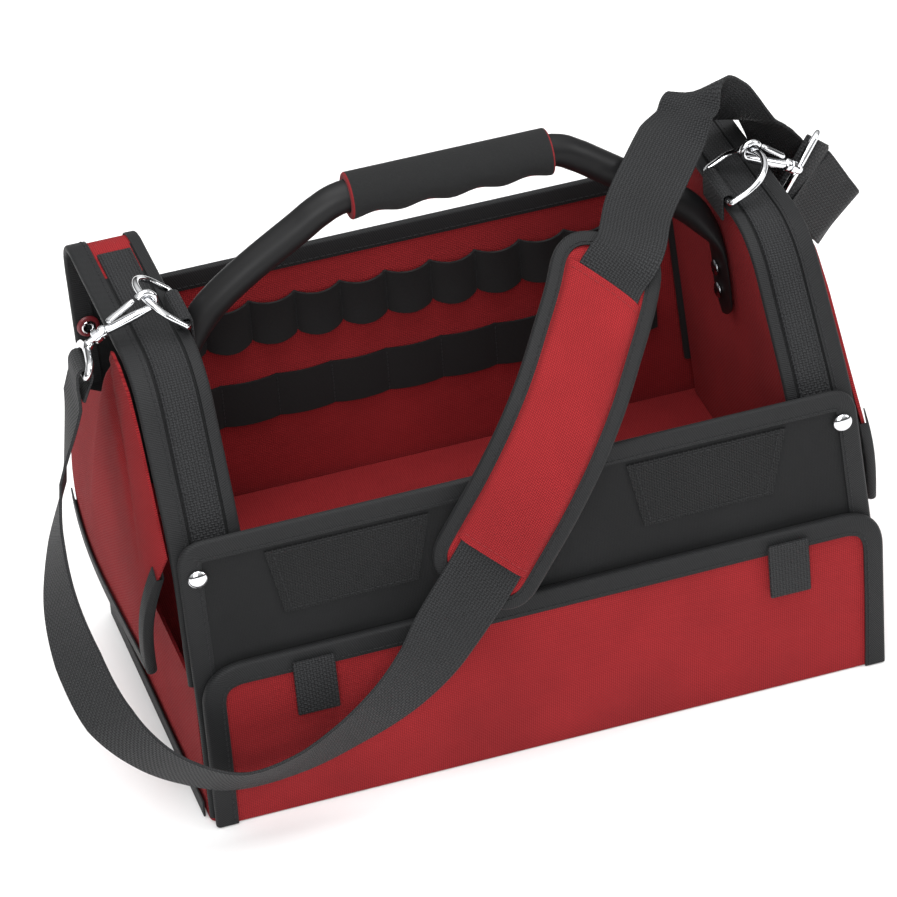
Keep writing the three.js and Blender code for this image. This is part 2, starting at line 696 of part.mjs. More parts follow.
const RING_WIRE_R = 2;
const RING_HALF = 21;
const RING_STRAIGHT = 10;
const RINGS = {
  left: { y: -12, tilt: THREE.MathUtils.degToRad(42) },
  right: { y: -12, tilt: THREE.MathUtils.degToRad(27) },
};
const RING_Z = 290;
const RING_TURN = 3;
const LOOP_HALF = 16;
const LOOP_THICK = 1.6;

// A loop's line from under the arch and round the ring's bar, measured out and up from the bar
const ringLoopLine = roundedPoints([
  { x: -3.3, y: -13 },
  { x: -3.3, y: 3.3, r: 3.2 },
  { x: 3.4, y: 3.3, r: 3.2 },
  { x: 4.6, y: -2.8 },
], 4);
const ringLoopSide = rightOf(ringLoopLine);

const ringPath = new THREE.Path();
ringPath.moveTo(0, 0);
ringPath.lineTo(0, RING_HALF - RING_TURN);
ringPath.quadraticCurveTo(0, RING_HALF, RING_TURN, RING_HALF);
ringPath.lineTo(RING_STRAIGHT, RING_HALF);
ringPath.absarc(RING_STRAIGHT, 0, RING_HALF, Math.PI / 2, -Math.PI / 2, true);
ringPath.lineTo(RING_TURN, -RING_HALF);
ringPath.quadraticCurveTo(0, -RING_HALF, 0, -RING_HALF + RING_TURN);
ringPath.lineTo(0, 0);
const RING_STEPS = 24;
const ringLine = ringPath.getSpacedPoints(RING_STEPS).slice(0, RING_STEPS);
const ringSide = rightOf(ringLine, true);

// Snap hook sizes, in its own plane: p from the bow towards the swivel, q off its axis
const HOOK_WIRE_R = 2;
const BOW_R = 5.5;
const BARREL = { from: 28, to: 36, r: 4 };
const HOOK_END = 38.8;
const GATE = { pivot: { p: 24.4, q: -4 }, tip: { p: 4.8, q: -5.2 }, r: 1.6 };
const EYE = { wire: 2, stem: 2.6, neck: 5, half: 23.5, side: 7 };

function hookRows() {
  const rows = [];
  for (let degrees = 298; degrees >= 94; degrees -= 25.5) {
    const angle = THREE.MathUtils.degToRad(degrees);
    rows.push({ p: BOW_R * Math.cos(angle), q: BOW_R * Math.sin(angle), r: HOOK_WIRE_R });
  }
  rows.push({ p: 9, q: 4.4, r: 2.5 });
  rows.push({ p: 20, q: 2.2, r: 2.8 });
  rows.push({ p: BARREL.from - 0.6, q: 0.2, r: 2.8 });
  rows.push({ p: BARREL.from, q: 0, r: BARREL.r });
  rows.push({ p: BARREL.to, q: 0, r: BARREL.r });
  return rows;
}

// Where each hook holds its ring, the side its back lies on, and the side of the strap's sewn end at its eye
const SNAPS = {
  left: {
    turn: 34,
    axis: [-0.9, -0.06, -0.43],
    rise: -1,
    eye: [-236.7, -29, 278.2],
    bar: [-0.11, -0.967, 0.225],
    tail: -1,
  },
  right: {
    turn: -35,
    axis: [0.75, 0.12, -0.56],
    rise: -1,
    eye: [214.1, 19, 270.8],
    bar: [-0.66, -0.3, -0.69],
    tail: 1,
  },
};

function solidOf(geometry) {
  const plain = plainGeometry(geometry);
  return new wasm.Manifold(new wasm.Mesh({
    numProp: 3,
    vertProperties: new Float32Array(plain.getAttribute('position').array),
    triVerts: new Uint32Array(plain.getIndex().array),
  }));
}

function geometryOf(solid) {
  const mesh = solid.getMesh();
  return closedMesh([...mesh.vertProperties], [...mesh.triVerts]);
}

const eyeBars = {};

for (const side of ['left', 'right']) {
  const sign = side === 'left' ? -1 : 1;
  const { y: ringY, tilt } = RINGS[side];
  const bar = new THREE.Vector3(leanX(sign * ARCH_INNER, RING_Z), ringY, RING_Z);
  const out = new THREE.Vector3(sign * Math.cos(tilt), 0, Math.sin(tilt));
  const off = new THREE.Vector3(-sign * Math.sin(tilt), 0, Math.cos(tilt));
  const onRing = (e, y) => bar.clone().addScaledVector(out, e).add(new THREE.Vector3(0, y, 0));

  add(`ring_loop_${side}`, sweep(
    rectangle(-LOOP_THICK / 2, -LOOP_HALF, LOOP_THICK / 2, LOOP_HALF), ringLoopLine.length,
    (row, a, b) => new THREE.Vector3(
      bar.x + sign * (ringLoopLine[row].x + ringLoopSide[row].x * a), bar.y + b,
      bar.z + ringLoopLine[row].y + ringLoopSide[row].y * a)), cloth(BLACK));

  add(`d_ring_${side}`, sweep(circle(RING_WIRE_R, 6), RING_STEPS, (row, a, b) => onRing(
    ringLine[row].x + ringSide[row].x * a, ringLine[row].y + ringSide[row].y * a)
    .addScaledVector(off, b), true), metal(CHROME, 0.12));

  const snap = SNAPS[side];
  const turn = THREE.MathUtils.degToRad(snap.turn);
  const axis = new THREE.Vector3(...snap.axis).normalize();
  const held = onRing(RING_STRAIGHT + RING_HALF * Math.cos(turn), -RING_HALF * Math.sin(turn));
  const bow = held.addScaledVector(axis, BOW_R - HOOK_WIRE_R - RING_WIRE_R - 0.4);
  const normal = new THREE.Vector3(0, 1, 0).addScaledVector(axis, -axis.y).normalize();
  const rise = normal.clone().cross(axis);
  rise.multiplyScalar(Math.sign(rise.z) * snap.rise);
  const onHook = (p, q, n) => bow.clone()
    .addScaledVector(axis, p).addScaledVector(rise, q).addScaledVector(normal, n);

  const rows = hookRows();
  const hookLine = rows.map((row) => new THREE.Vector2(row.p, row.q));
  const hookSide = rightOf(hookLine);
  add(`hook_body_${side}`, sweep(circle(1, 8), rows.length, (row, a, b) => onHook(
    rows[row].p + hookSide[row].x * rows[row].r * a,
    rows[row].q + hookSide[row].y * rows[row].r * a, rows[row].r * b)), metal(CHROME, 0.12));

  const gateLine = [GATE.pivot, GATE.tip].map(({ p, q }) => new THREE.Vector2(p, q));
  const gateSide = rightOf(gateLine);
  add(`hook_gate_${side}`, sweep(circle(GATE.r, 8), 2, (row, a, b) => onHook(
    gateLine[row].x + gateSide[row].x * a, gateLine[row].y + gateSide[row].y * a, b)), metal(CHROME, 0.12));

  const swivel = onHook(HOOK_END, 0, 0);
  const eyeBar = new THREE.Vector3(...snap.eye);
  const eyeAxis = eyeBar.clone().sub(swivel);
  const reach = eyeAxis.length();
  eyeAxis.normalize();
  const across = new THREE.Vector3(...snap.bar);
  across.addScaledVector(eyeAxis, -across.dot(eyeAxis)).normalize();
  const flat = eyeAxis.clone().cross(across);
  eyeBars[side] = { bar: eyeBar, across, tail: snap.tail };
  const corners = roundedPoints([
    { x: reach, y: 0 },
    { x: reach, y: EYE.half, r: 2 },
    { x: reach - EYE.side, y: EYE.half, r: 4 },
    { x: EYE.neck, y: EYE.neck, r: 3 },
    { x: EYE.neck, y: -EYE.neck, r: 3 },
    { x: reach - EYE.side, y: -EYE.half, r: 4 },
    { x: reach, y: -EYE.half, r: 2 },
    { x: reach, y: 0 },
  ], 2).slice(1);
  const cornerSide = rightOf(corners, true);
  const onEye = (p, c, n) => swivel.clone()
    .addScaledVector(eyeAxis, p).addScaledVector(across, c).addScaledVector(flat, n);
  const ring = sweep(circle(EYE.wire, 6), corners.length, (row, a, b) => onEye(
    corners[row].x + cornerSide[row].x * a, corners[row].y + cornerSide[row].y * a, b), true);
  const stem = sweep(circle(EYE.stem, 6), 2, (row, a, b) => onEye(row * EYE.neck, a, b));
  add(`hook_eye_${side}`, geometryOf(solidOf(ring).add(solidOf(stem))), metal(CHROME, 0.12));
}

// Shoulder pad: rows of its middle line, from its lower to its upper end

const PAD_LINE = [
  { x: -48, y: -131, z: 134.5 },
  { x: -30, y: -132, z: 163.5 },
  { x: -10, y: -131.5, z: 194.5 },
  { x: 8, y: -125.5, z: 220 },
  { x: 25.5, y: -112, z: 240.5 },
  { x: 42, y: -94, z: 259 },
  { x: 58, y: -75.5, z: 277.5 },
  { x: 73, y: -53.5, z: 300 },
];
const PAD_ACROSS = new THREE.Vector3(-0.8, 0.48, 0.35).normalize();
const padCurve = new THREE.CatmullRomCurve3(PAD_LINE.map(({ x, y, z }) => new THREE.Vector3(x, y, z)));
const PAD_LENGTH = padCurve.getLength();
const PAD_CORNER = 24;
const PAD_CORE = { flat: 0.6, foot: 0.67 };
const PAD_ROWS = 20;
const PAD_TUCK = 0.8;
const PAD_TAPE = 7.6;
const PAD_TAPE_EASE = 2.2;

function padAcross(l) {
  const along = padCurve.getTangentAt(THREE.MathUtils.clamp(l / PAD_LENGTH, 0, 1));
  return PAD_ACROSS.clone().addScaledVector(along, -PAD_ACROSS.dot(along)).normalize();
}

// A point on the pad: l along it, c across it, h off its middle towards its outer face
function onPad(l, c, h) {
  const share = THREE.MathUtils.clamp(l / PAD_LENGTH, 0, 1);
  const along = padCurve.getTangentAt(share);
  const across = padAcross(l);
  const face = along.clone().cross(across);
  return padCurve.getPointAt(share).addScaledVector(along, l - share * PAD_LENGTH)
    .addScaledVector(across, c).addScaledVector(face, h);
}

function padHalf(l) {
  const short = Math.max(0, PAD_CORNER - Math.min(l, PAD_LENGTH - l)) / PAD_CORNER;
  return PAD_WIDTH / 2 - PAD_CORNER * (1 - Math.sqrt(Math.max(0, 1 - short * short)));
}

// The pad in section as shares of its half width and half thickness: a core with a thin rim
const padRim = PAD_RIM / PAD_THICK;
const padSection = [
  [-1, -padRim], [-PAD_CORE.foot, -padRim], [-PAD_CORE.flat, -1],
  [PAD_CORE.flat, -1], [PAD_CORE.foot, -padRim], [1, -padRim],
  [1, padRim], [PAD_CORE.foot, padRim], [PAD_CORE.flat, 1],
  [-PAD_CORE.flat, 1], [-PAD_CORE.foot, padRim], [-1, padRim],
];
add('shoulder_pad', sweep(padSection, PAD_ROWS, (row, a, b) => {
  const share = 0.5 - 0.5 * Math.cos((Math.PI * row) / (PAD_ROWS - 1));
  const l = THREE.MathUtils.lerp(PAD_TUCK, PAD_LENGTH - PAD_TUCK, share);
  const inside = Math.max(0, Math.min(l, PAD_LENGTH - l) - PAD_TAPE - 1);
  const rise = Math.min(1, padRim + inside / PAD_TAPE);
  const height = Math.abs(b) === 1 ? b * rise : b;
  return onPad(l, a * (padHalf(l) - PAD_TUCK), height * (PAD_THICK / 2));
}), cloth(RED));

const padEdge = closeSpaced(roundedPoints([
  { x: PAD_LENGTH / 2, y: PAD_WIDTH / 2 },
  { x: PAD_LENGTH, y: PAD_WIDTH / 2, r: PAD_CORNER },
  { x: PAD_LENGTH, y: -PAD_WIDTH / 2, r: PAD_CORNER },
  { x: 0, y: -PAD_WIDTH / 2, r: PAD_CORNER },
  { x: 0, y: PAD_WIDTH / 2, r: PAD_CORNER },
  { x: PAD_LENGTH / 2, y: PAD_WIDTH / 2 },
], 4), 26).slice(1);
const padInward = rightOf(padEdge, true);
const padTapeSection = tapeSection(PAD_TAPE, PAD_RIM + PAD_TAPE_EASE);
add('shoulder_pad_tape', sweep(padTapeSection, padEdge.length, (row, a, b) => onPad(
  padEdge[row].x + padInward[row].x * a, padEdge[row].y + padInward[row].y * a, b), true), cloth(BLACK));

// Cover sewn down both sides of the pad, so that the strap can slide under it; its ends are cut aslant

const STRAP_EASE = 1.2;
const STRAP_ON_PAD = PAD_THICK / 2 + STRAP_THICK / 2 + STRAP_EASE;
const COVER = { half: 22.6, wall: 1.2, foot: 2.6, rows: 12 };
const COVER_FROM = { left: 31, right: 28 };
const COVER_TO = { left: PAD_LENGTH - 18, right: PAD_LENGTH - 38 };
const coverTop = STRAP_ON_PAD + STRAP_THICK / 2 + COVER.wall + STRAP_EASE;
const coverInside = { half: COVER.half - COVER.wall, top: coverTop - COVER.wall };
const coverSection = [
  [-COVER.half, COVER.foot], [-COVER.half, coverTop - 1], [1 - COVER.half, coverTop],
  [COVER.half - 1, coverTop], [COVER.half, coverTop - 1], [COVER.half, COVER.foot],
  [coverInside.half, COVER.foot], [coverInside.half, coverInside.top],
  [-coverInside.half, coverInside.top], [-coverInside.half, COVER.foot],
];
add('shoulder_pad_cover', sweep(coverSection, COVER.rows, (row, a, b) => {
  const leftward = 0.5 + a / (2 * COVER.half);
  const from = THREE.MathUtils.lerp(COVER_FROM.right, COVER_FROM.left, leftward);
  const to = THREE.MathUtils.lerp(COVER_TO.right, COVER_TO.left, leftward);
  return onPad(THREE.MathUtils.lerp(from, to, row / (COVER.rows - 1)), a, b);
}), cloth(RED));

// Shoulder strap: hand-laid rows of its middle line and of the way across it, from the left hook
// to the pad and from the pad to the right hook

const STRAP_LEFT = [
  { at: [-244.5, -33, 260], across: [0.05, -0.93, 0.35] },
  { at: [-251, -38, 237], across: [-0.08, -0.88, 0.47] },
  { at: [-259, -48, 216], across: [-0.2, -0.79, 0.57] },
  { at: [-270, -64, 189], across: [0.11, -0.69, 0.71] },
  { at: [-276, -85, 163], across: [0.34, -0.67, 0.66] },
  { at: [-274, -107, 135], across: [0.55, -0.62, 0.57] },
  { at: [-264, -127, 104], across: [0.58, -0.56, 0.6] },
  { at: [-245, -137, 79], across: [0.43, -0.64, 0.63] },
  { at: [-221, -141, 61], across: [0.35, -0.68, 0.64] },
  { at: [-195, -142, 50], across: [0.13, -0.66, 0.74] },
  { at: [-159, -141, 52], across: [-0.15, -0.59, 0.79] },
  { at: [-127, -140, 64], across: [-0.38, -0.46, 0.81] },
  { at: [-98, -139, 81], across: [-0.57, -0.22, 0.79] },
  { at: [-78, -138.5, 100], across: [-0.73, 0.01, 0.68] },
  { at: [-64, -138, 120], across: [-0.76, 0.28, 0.57] },
];
const STRAP_ON_COVERED_PAD = [14, 38, 62, 86, 110, 134, 158, 180].map((l) => ({ l, c: 0, lift: 0 }));
const STRAP_OFF_PAD = [{ l: 203, c: -3, lift: 0.1 }, { l: 221, c: -10.5, lift: 3 }];
const STRAP_RIGHT = [
  { at: [95, -39.5, 306], across: [-0.82, 0.46, 0.33] },
  { at: [113, -17.5, 313], across: [-0.86, 0.4, 0.25] },
  { at: [130, 1, 321], across: [-0.9, 0.38, 0.12] },
  { at: [143.5, 14, 327.5], across: [-0.92, 0.3, -0.4] },
  { at: [156, 23.5, 335], across: [-0.82, 0.38, -0.43] },
  { at: [170.5, 31.5, 322.5], across: [-0.66, 0.44, -0.61] },
  { at: [179.5, 36, 311], across: [-0.64, 0.54, -0.5] },
  { at: [192, 40, 298.5], across: [-0.52, 0.79, -0.3] },
  { at: [201.5, 43, 292], across: [-0.47, 0.86, -0.17] },
  { at: [208, 45.7, 281], across: [-0.55, 0.8, -0.23] },
  { at: [216.5, 46.4, 262], across: [-0.31, 0.53, -0.79] },
  { at: [226.5, 45.3, 243], across: [-0.5, 0.35, -0.79] },
  { at: [238.5, 43.5, 224.5], across: [-0.66, 0.15, -0.74] },
  { at: [244.5, 37.5, 218.5], across: [-0.7, 0.02, -0.71] },
  { at: [242.5, 31, 223.5], across: [-0.72, -0.1, -0.68] },
  { at: [235, 26.5, 237], across: [-0.72, -0.2, -0.66] },
  { at: [227, 22.8, 252], across: [-0.7, -0.25, -0.67] },
  { at: [222, 20, 261.5], across: [-0.68, -0.28, -0.68] },
];
const EYE_LOOP = [
  { d: 15, n: -2.8 },
  { d: 8, n: -3.4 },
  { d: 1, n: -4 },
  { d: -2.8, n: -2.8 },
  { d: -4, n: 0 },
  { d: -2.8, n: 2.8 },
  { d: 1, n: 4 },
  { d: 8, n: 2.4 },
];
const STRAP_SAMPLES = 2;

const vector = (list) => new THREE.Vector3(...list);

// The strap's turn round the bar of a hook's eye, from its sewn end on
function eyeLoop(eye, next) {
  const leave = vector(next.at).sub(eye.bar);
  leave.addScaledVector(eye.across, -leave.dot(eye.across)).normalize();
  const off = eye.across.clone().cross(leave).multiplyScalar(eye.tail);
  return EYE_LOOP.map(({ d, n }) => ({
    at: eye.bar.clone().addScaledVector(leave, d).addScaledVector(off, n),
    across: eye.across,
  }));
}

const strapRows = [
  ...eyeLoop(eyeBars.left, STRAP_LEFT[0]),
  ...STRAP_LEFT.map(({ at, across }) => ({ at: vector(at), across: vector(across) })),
  ...[...STRAP_ON_COVERED_PAD, ...STRAP_OFF_PAD].map(({ l, c, lift }) => ({
    at: onPad(l, c, STRAP_ON_PAD + lift),
    across: padAcross(l),
  })),
  ...STRAP_RIGHT.map(({ at, across }) => ({ at: vector(at), across: vector(across) })),
  ...eyeLoop(eyeBars.right, STRAP_RIGHT.at(-1)).reverse(),
];
const strapCurve = new THREE.CatmullRomCurve3(strapRows.map((row) => row.at));
const strapSteps = (strapRows.length - 1) * STRAP_SAMPLES;
const strapSection = rectangle(-STRAP_WIDTH / 2, -STRAP_THICK / 2, STRAP_WIDTH / 2, STRAP_THICK / 2);
add('shoulder_strap', sweep(strapSection, strapSteps + 1, (step, a, b) => {
  const share = step / strapSteps;
  const along = strapCurve.getTangent(share);
  const before = Math.min(Math.floor(step / STRAP_SAMPLES), strapRows.length - 2);
  const across = strapRows[before].across.clone()
    .lerp(strapRows[before + 1].across, step / STRAP_SAMPLES - before);
  across.addScaledVector(along, -across.dot(along)).normalize();
  const face = along.clone().cross(across);
  return strapCurve.getPoint(share).addScaledVector(across, a).addScaledVector(face, b);
}), cloth(BLACK));

export default group;
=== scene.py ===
import math

import bmesh
import bpy
import numpy as np
from mathutils import Matrix


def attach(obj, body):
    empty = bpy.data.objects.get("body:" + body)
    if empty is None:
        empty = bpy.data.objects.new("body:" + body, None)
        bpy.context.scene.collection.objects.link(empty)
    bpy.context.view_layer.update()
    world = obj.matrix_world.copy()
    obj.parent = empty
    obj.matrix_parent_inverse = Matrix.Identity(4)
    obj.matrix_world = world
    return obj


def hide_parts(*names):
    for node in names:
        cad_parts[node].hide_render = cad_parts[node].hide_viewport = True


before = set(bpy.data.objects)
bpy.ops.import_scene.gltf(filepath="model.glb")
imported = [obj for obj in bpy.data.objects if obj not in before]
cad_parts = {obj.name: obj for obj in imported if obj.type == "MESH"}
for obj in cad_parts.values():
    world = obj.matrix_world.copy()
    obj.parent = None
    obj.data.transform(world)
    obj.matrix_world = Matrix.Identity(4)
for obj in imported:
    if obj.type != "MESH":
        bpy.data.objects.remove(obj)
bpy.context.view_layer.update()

# Studio: a wide pale floor under soft lights, and a long lens that looks down on the bag
# from the front left, turned a little on its own axis.

MM = 0.001
IMAGE_PIXELS = 897
SENSOR = 36.0
LENS_PIXELS = 5000
VIEW_TARGET = np.array([-25.7, -27.6, 163.1])
VIEW_TURN = math.radians(15.33)
VIEW_RISE = math.radians(34.6)
VIEW_ROLL = math.radians(4.43)
VIEW_DISTANCE = 2934
FLOOR_HALF = 5.0
FLOOR_DROP = 0.0004
SOFTBOXES = [
    # name, place, side, watts
    ("softbox_top", (-0.2, -0.2, 2.6), 2.4, 62),
    ("softbox_front", (-0.7, -2.3, 1.5), 1.5, 46),
    ("softbox_right", (2.2, -0.9, 1.3), 1.2, 16),
]
SOFTBOX_AIM = np.array([0, 0, 0.12])
ROOM_LOW = 0.06
ROOM_HIGH = 0.95
ROOM_HIGH_FROM = 0.8


def unit(ways):
    """The same ways, each made one long."""
    ways = np.asarray(ways, float)
    return ways / np.linalg.norm(ways, axis=-1, keepdims=True)


def posed(right, up, back, place):
    return Matrix([*zip(right, up, back, place), (0, 0, 0, 1)])


def start_nodes(owner, shader):
    """Opens a material or a world, with a function that adds nodes and one that feeds its shader."""
    owner.use_nodes = True
    tree = owner.node_tree

    def fill(socket, value):
        if isinstance(value, bpy.types.NodeSocket):
            tree.links.new(value, socket)
        else:
            socket.default_value = value

    def node(kind, inputs=None, out=0, **settings):
        made = tree.nodes.new("ShaderNode" + kind)
        for key, value in settings.items():
            setattr(made, key, value)
        for key, value in (inputs or {}).items():
            fill(made.inputs[key], value)
        return made.outputs[out]

    def feed(**sockets):
        for key, value in sockets.items():
            fill(tree.nodes[shader].inputs[key.replace("_", " ")], value)

    return owner, node, feed


def start_finish(name):
    return start_nodes(bpy.data.materials.new(name), "Principled BSDF")


def blend_colours(node, share, first, second):
    return node("Mix", {0: share, 6: first, 7: second}, 2, data_type="RGBA")


def colour(red, green, blue):
    return (red, green, blue, 1.0)


floor_finish, node, feed = start_finish("pale_floor")
haze = node("TexNoise", {"Scale": 3.0, "Detail": 2.0})
feed(Base_Color=blend_colours(node, haze, colour(0.90, 0.90, 0.90), colour(0.93, 0.93, 0.93)), Roughness=0.9)
floor_mesh = bpy.data.meshes.new("studio_floor")
floor_mesh.from_pydata(
    [(x * FLOOR_HALF, y * FLOOR_HALF, -FLOOR_DROP) for x, y in ((-1, -1), (1, -1), (1, 1), (-1, 1))],
    [], [(0, 1, 2, 3)])
floor_mesh.materials.append(floor_finish)
studio_floor = bpy.data.objects.new("studio_floor", floor_mesh)
bpy.context.collection.objects.link(studio_floor)

for name, place, side, watts in SOFTBOXES:
    lamp = bpy.data.lights.new(name, "AREA")
    lamp.size = side
    lamp.energy = watts
    lit = bpy.data.objects.new(name, lamp)
    away = unit(np.array(place) - SOFTBOX_AIM)
    across = unit(np.cross((0, 0, 1), away)) if abs(away[2]) < 0.99 else np.array([1.0, 0, 0])
    lit.matrix_world = posed(across, np.cross(away, across), away, place)
    bpy.context.collection.objects.link(lit)

world, node, feed = start_nodes(bpy.data.worlds.new("soft_room"), "Background")
up = node("SeparateXYZ", {0: node("TexCoord", out="Generated")}, "Z")
glow = {0: up, 1: 0.0, 2: ROOM_HIGH_FROM, 3: ROOM_LOW, 4: ROOM_HIGH}
feed(Color=colour(1, 1, 1), Strength=node("MapRange", glow, interpolation_type="SMOOTHSTEP"))
bpy.context.scene.world = world
bpy.context.scene.view_settings.view_transform = "Standard"

view_back = np.array([
    -math.sin(VIEW_TURN) * math.cos(VIEW_RISE),
    -math.cos(VIEW_TURN) * math.cos(VIEW_RISE),
    math.sin(VIEW_RISE)])
level = np.array([math.cos(VIEW_TURN), -math.sin(VIEW_TURN), 0])
upright = np.cross(view_back, level)
view_right = level * math.cos(VIEW_ROLL) - upright * math.sin(VIEW_ROLL)
view_up = level * math.sin(VIEW_ROLL) + upright * math.cos(VIEW_ROLL)
view_from = (VIEW_TARGET + view_back * VIEW_DISTANCE) * MM
camera = bpy.data.objects.new("camera", bpy.data.cameras.new("camera"))
camera.data.sensor_width = SENSOR
camera.data.lens = LENS_PIXELS / IMAGE_PIXELS * SENSOR
camera.matrix_world = posed(view_right, view_up, view_back, view_from)
bpy.context.collection.objects.link(camera)
bpy.context.scene.camera = camera

# Base and floor: two stiff boards covered with red polyester in a coarse plain weave.
# The base is the bag's foot; the floor sits higher, over the lower compartment.

CLOTH = 2.0
FLOOR_TOP = 70.0
BASE_HALF = 209.0
BASE_FRONT = -111.4
BASE_BACK = 110.0
BASE_THICK = 3.0
BASE_CORNER = 6.0
FLOOR_HALF_X = 206.0
FLOOR_HALF_Y = 105.0
# The light tone is the red on the threads' crowns; the dark tone is painted shade in the weave's hollows.
RED_LIGHT = colour(0.31, 0.022, 0.025)
RED_DARK = colour(0.115, 0.006, 0.008)
RED_PITCH = 1.25
ONE_WAVE = 0.314159  # scale at which a wave texture has one wave to a unit


def new_piece(name, points, faces, uvs, sharp=40):
    """A mesh from points in millimetres, with its faces turned outward and a map in metres."""
    mesh = bpy.data.meshes.new(name)
    mesh.from_pydata((np.asarray(points, float).reshape(-1, 3) * MM).tolist(), [], faces)
    layer = mesh.uv_layers.new(name="cloth")
    layer.data.foreach_set("uv", (np.asarray(uvs, float).reshape(-1) * MM).tolist())
    shaped = bmesh.new()
    shaped.from_mesh(mesh)
    bmesh.ops.recalc_face_normals(shaped, faces=shaped.faces)
    shaped.to_mesh(mesh)
    shaped.free()
    mesh.shade_smooth()
    mesh.set_sharp_from_angle(angle=math.radians(sharp))
    piece = bpy.data.objects.new(name, mesh)
    bpy.context.collection.objects.link(piece)
    return piece


def points_at(*places):
    """Points from their places along each axis; a place that they share is given once."""
    return np.stack(np.broadcast_arrays(*places), axis=-1)


def between(first, last, share):
    return first + (last - first) * share


def run_lengths(points):
    steps = np.linalg.norm(np.diff(points, axis=0), axis=-1)
    return np.concatenate([[0], np.cumsum(steps)])


def loft(name, rings, closed=False, sharp=40):
    """A solid through rings of points; its map runs round the ring and along the rings."""
    rings = np.asarray(rings, float)
    rows, sides = rings.shape[:2]
    middle = rings[rows // 2]
    girth = run_lengths(np.vstack([middle, middle[:1]]))
    centres = rings.mean(axis=1)
    length = run_lengths(np.vstack([centres, centres[:1]]))
    faces = []
    uvs = []
    for row in range(rows if closed else rows - 1):
        below = (row + 1) % rows
        for j in range(sides):
            k = (j + 1) % sides
            faces.append((row * sides + j, row * sides + k, below * sides + k, below * sides + j))
            for at, to in ((j, row), (j + 1, row), (j + 1, row + 1), (j, row + 1)):
                uvs.append((girth[at], length[to]))
    if not closed:
        for row in (0, rows - 1):
            ring = rings[row]
            widest = np.argsort(np.ptp(ring, axis=0))[1:]
            faces.append([row * sides + j for j in range(sides)])
            uvs.extend(ring[:, widest])
    return new_piece(name, rings, faces, uvs, sharp)


def sheet(name, grid, thickness=CLOTH, sharp=40):
    """A closed wall of even thickness over a grid of points on its middle surface."""
    grid = np.asarray(grid, float)
    rows, columns = grid.shape[:2]
    half = unit(np.cross(np.gradient(grid, axis=1), np.gradient(grid, axis=0))) * thickness / 2
    across = np.array([run_lengths(grid[i]) for i in range(rows)])
    across = across - across[:, columns // 2:columns // 2 + 1]
    along = np.array([run_lengths(grid[:, j]) for j in range(columns)]).T
    index = np.arange(rows * columns).reshape(rows, columns)
    faces = []
    uvs = []

    def quad(corners, sides):
        faces.append([int(index[c]) + s * rows * columns for c, s in zip(corners, sides)])
        uvs.extend((across[c], along[c]) for c in corners)

    for i in range(rows - 1):
        for j in range(columns - 1):
            corners = ((i, j), (i, j + 1), (i + 1, j + 1), (i + 1, j))
            quad(corners, (0, 0, 0, 0))
            quad(corners[::-1], (1, 1, 1, 1))
    for j in range(columns - 1):
        for i in (0, rows - 1):
            quad(((i, j), (i, j + 1), (i, j + 1), (i, j)), (0, 0, 1, 1))
    for i in range(rows - 1):
        for j in (0, columns - 1):
            quad(((i, j), (i + 1, j), (i + 1, j), (i, j)), (0, 0, 1, 1))
    return new_piece(name, np.concatenate([grid + half, grid - half]), faces, uvs, sharp)


def rounded_line(corners, steps=8, spacing=math.inf):
    """Flat points along straight runs with rounded corners; rows hold two places and a reach.

    More points are set in where they would be further apart than the spacing."""
    points = [np.array(corners[0][:2], float)]
    for before, here, after in zip(corners, corners[1:], corners[2:]):
        corner = np.array(here[:2], float)
        start = corner + unit(before[:2] - corner) * here[2]
        end = corner + unit(after[:2] - corner) * here[2]
        for t in np.linspace(0, 1, steps + 1) if here[2] > 0 else [0]:
            points.append((1 - t) ** 2 * start + 2 * t * (1 - t) * corner + t * t * end)
    points.append(np.array(corners[-1][:2], float))
    run = points[:1]
    for before, after in zip(points, points[1:]):
        count = max(1, math.ceil(np.linalg.norm(after - before) / spacing))
        run.extend(between(before, after, k / count) for k in range(1, count + 1))
    return np.array(run)


def noise(node, where, scale, detail):
    return node("TexNoise", {"Vector": where, "Scale": scale, "Detail": detail})


def spread(node, source, low, high):
    """A value that goes from low to high with a noise."""
    return node("MapRange", {0: source, 1: 0.3, 2: 0.7, 3: low, 4: high})


def added(node, source, share, base):
    return node("Math", {0: source, 1: share, 2: base}, operation="MULTIPLY_ADD")


def raised(node, height, depth):
    return node("Bump", {"Height": height, "Distance": depth * MM, "Strength": 1.0})


